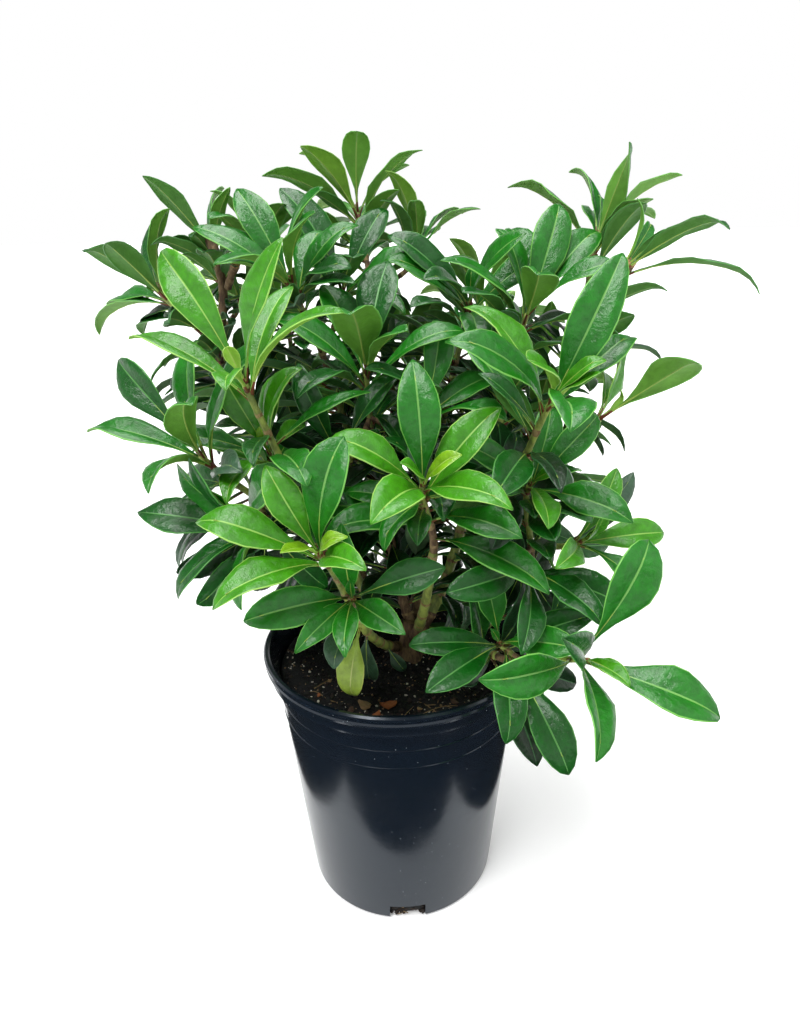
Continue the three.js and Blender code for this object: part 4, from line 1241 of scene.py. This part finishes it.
def fillSlot(bm, draw, turn):
    # a mat of roots with mix behind a drain slot
    wide, high, out = potLook["slotWidth"] / 2 - 1, potLook["slotHeight"] - 1, potLook["footRadius"]
    for i in range(rootLook["slotRoots"]):
        spots = [Vector((out - draw(1.5, 6), draw(-wide, wide), draw(1, high))) for _ in range(3)]
        curve = Curve(*[turn @ spot for spot in spots])
        rodAlong(bm, curve, lambda t: rootLook["slotRadius"] - 0.2 * t, 5, 8, lambda t: i % 2)
    for _ in range(rootLook["slotLumps"]):
        made = roughLump(bm, draw, 0.3)
        spot = turn @ Vector((out - draw(3, 9), draw(-wide, wide) * 1.05, 0.6 + draw(0, 1) * (high - 1)))
        lump = Matrix.Translation(spot) @ Matrix.Scale(draw(*rootLook["lumpSizes"]), 4)
        lowest = min((lump @ v.co).z for v in made)
        lump = Matrix.Translation((0, 0, max(0, rootLook["above"] - lowest))) @ lump
        bmesh.ops.transform(bm, matrix=Matrix.Scale(mm, 4) @ lump, verts=made)
        setSlot(made, 2)


def buildRoots():
    draw = drawer(640)
    materials = [grainy(*colour, (900, 3), 0.5, 0.0006) for colour in rootLook["colours"]]
    bm = bmesh.new()
    for root in rootLook["onTop"]:
        addRoot(bm, draw, *root)
    for turn in slotTurns(3):
        fillSlot(bm, draw, turn)
    closeUp(bm)
    finishPiece(bm, "fineRoots", materials)


buildPot()
buildSoil()
buildLitter()
buildRoots()
print("pot and potting mix made")


studio = {
    "floorRadius": 30.0,
    "floorShade": 0.85,
    "floorGlow": 0.22,  # the floor is a lit white table
    "sky": [(0.27, 1.0), (0.46, 0.15)],  # height and brightness, white along the horizon and dark above
    "lamps": [  # sun lamps: bearing and height they shine from, in degrees, strength, and how wide they look
        (-125, 60, 2.8, 28),
        (100, 74, 2.5, 38),
        (-30, 48, 0.7, 50),
    ],
    "board": (-0.145, 0.132, -0.127, 0.15),  # the pot mirrors a white board this wide, and dark beyond it
    "flagReach": 2,
    "flagShade": 0.004,
}
view = {"place": (0, -0.486, 0.495), "pitch": 21.4, "yaw": -0.51, "roll": -1.33, "focal": 740, "high": 1024,
        "sensor": 36}


def grey(level):
    return (level, level, level, 1)


def buildFloor():
    white = newMaterial("paleFloor", grey(studio["floorShade"]), 0.8,
                        **{"Emission Color": grey(1), "Emission Strength": studio["floorGlow"]})
    bm = bmesh.new()
    bmesh.ops.create_circle(bm, cap_ends=True, segments=96, radius=studio["floorRadius"])
    bmesh.ops.translate(bm, verts=bm.verts, vec=(0, 0, -0.0004))
    newPiece(bm, "studioFloor", [white])


def buildFlag():
    # a black flag round the white board, seen in reflections only
    left, right, front, back = studio["board"]
    far = studio["flagReach"]
    bm = bmesh.new()
    sides = [((-far, -far), (far, front)), ((-far, front), (left, back)), ((right, front), (far, back))]
    for low, high in sides:
        made = bmesh.ops.create_grid(bm, x_segments=1, y_segments=1, size=0.5)["verts"]
        size = Matrix.Diagonal((high[0] - low[0], high[1] - low[1], 1, 1))
        place = Matrix.Translation(((low[0] + high[0]) / 2, (low[1] + high[1]) / 2, -0.0002))
        bmesh.ops.transform(bm, matrix=place @ size, verts=made)
    flag = newPiece(bm, "blackFlag", [newMaterial("blackFlag", grey(studio["flagShade"]), 1.0)])
    flag.visible_camera = flag.visible_diffuse = flag.visible_shadow = False


def buildLight():
    # an even sky that is white along the horizon, and soft lamps
    world = bpy.data.worlds.new("softSky")
    world.use_nodes = True
    nodes, links = world.node_tree.nodes, world.node_tree.links
    place, apart, ramp = [nodes.new(f"ShaderNode{kind}") for kind in ("TexCoord", "SeparateXYZ", "ValToRGB")]
    links.new(place.outputs["Generated"], apart.inputs["Vector"])
    links.new(apart.outputs["Z"], ramp.inputs["Fac"])
    for element, (position, level) in zip(ramp.color_ramp.elements, studio["sky"]):
        element.position = position
        element.color = grey(level)
    links.new(ramp.outputs["Color"], nodes["Background"].inputs["Color"])
    bpy.context.scene.world = world
    for bearing, high, strength, wide in studio["lamps"]:
        light = bpy.data.lights.new("softLamp", "SUN")
        light.energy, light.angle = strength, math.radians(wide)
        lamp = bpy.data.objects.new("softLamp", light)
        lamp.rotation_euler = (-Vector(facing(bearing, high))).to_track_quat("-Z", "Y").to_euler()
        bpy.context.scene.collection.objects.link(lamp)


def buildCamera():
    data = bpy.data.cameras.new("viewer")
    data.sensor_width = view["sensor"]
    data.lens = view["sensor"] * view["focal"] / view["high"]
    data.clip_start = 0.02
    camera = bpy.data.objects.new("viewer", data)
    turn = (Matrix.Rotation(math.radians(view["yaw"]), 4, "Z")
            @ Matrix.Rotation(math.radians(90 - view["pitch"]), 4, "X")
            @ Matrix.Rotation(math.radians(view["roll"]), 4, "Z"))
    camera.matrix_world = Matrix.Translation(view["place"]) @ turn
    bpy.context.scene.collection.objects.link(camera)
    bpy.context.scene.camera = camera
    bpy.context.scene.view_settings.view_transform = "Standard"


buildFloor()
buildFlag()
buildLight()
buildCamera()
print("studio made")
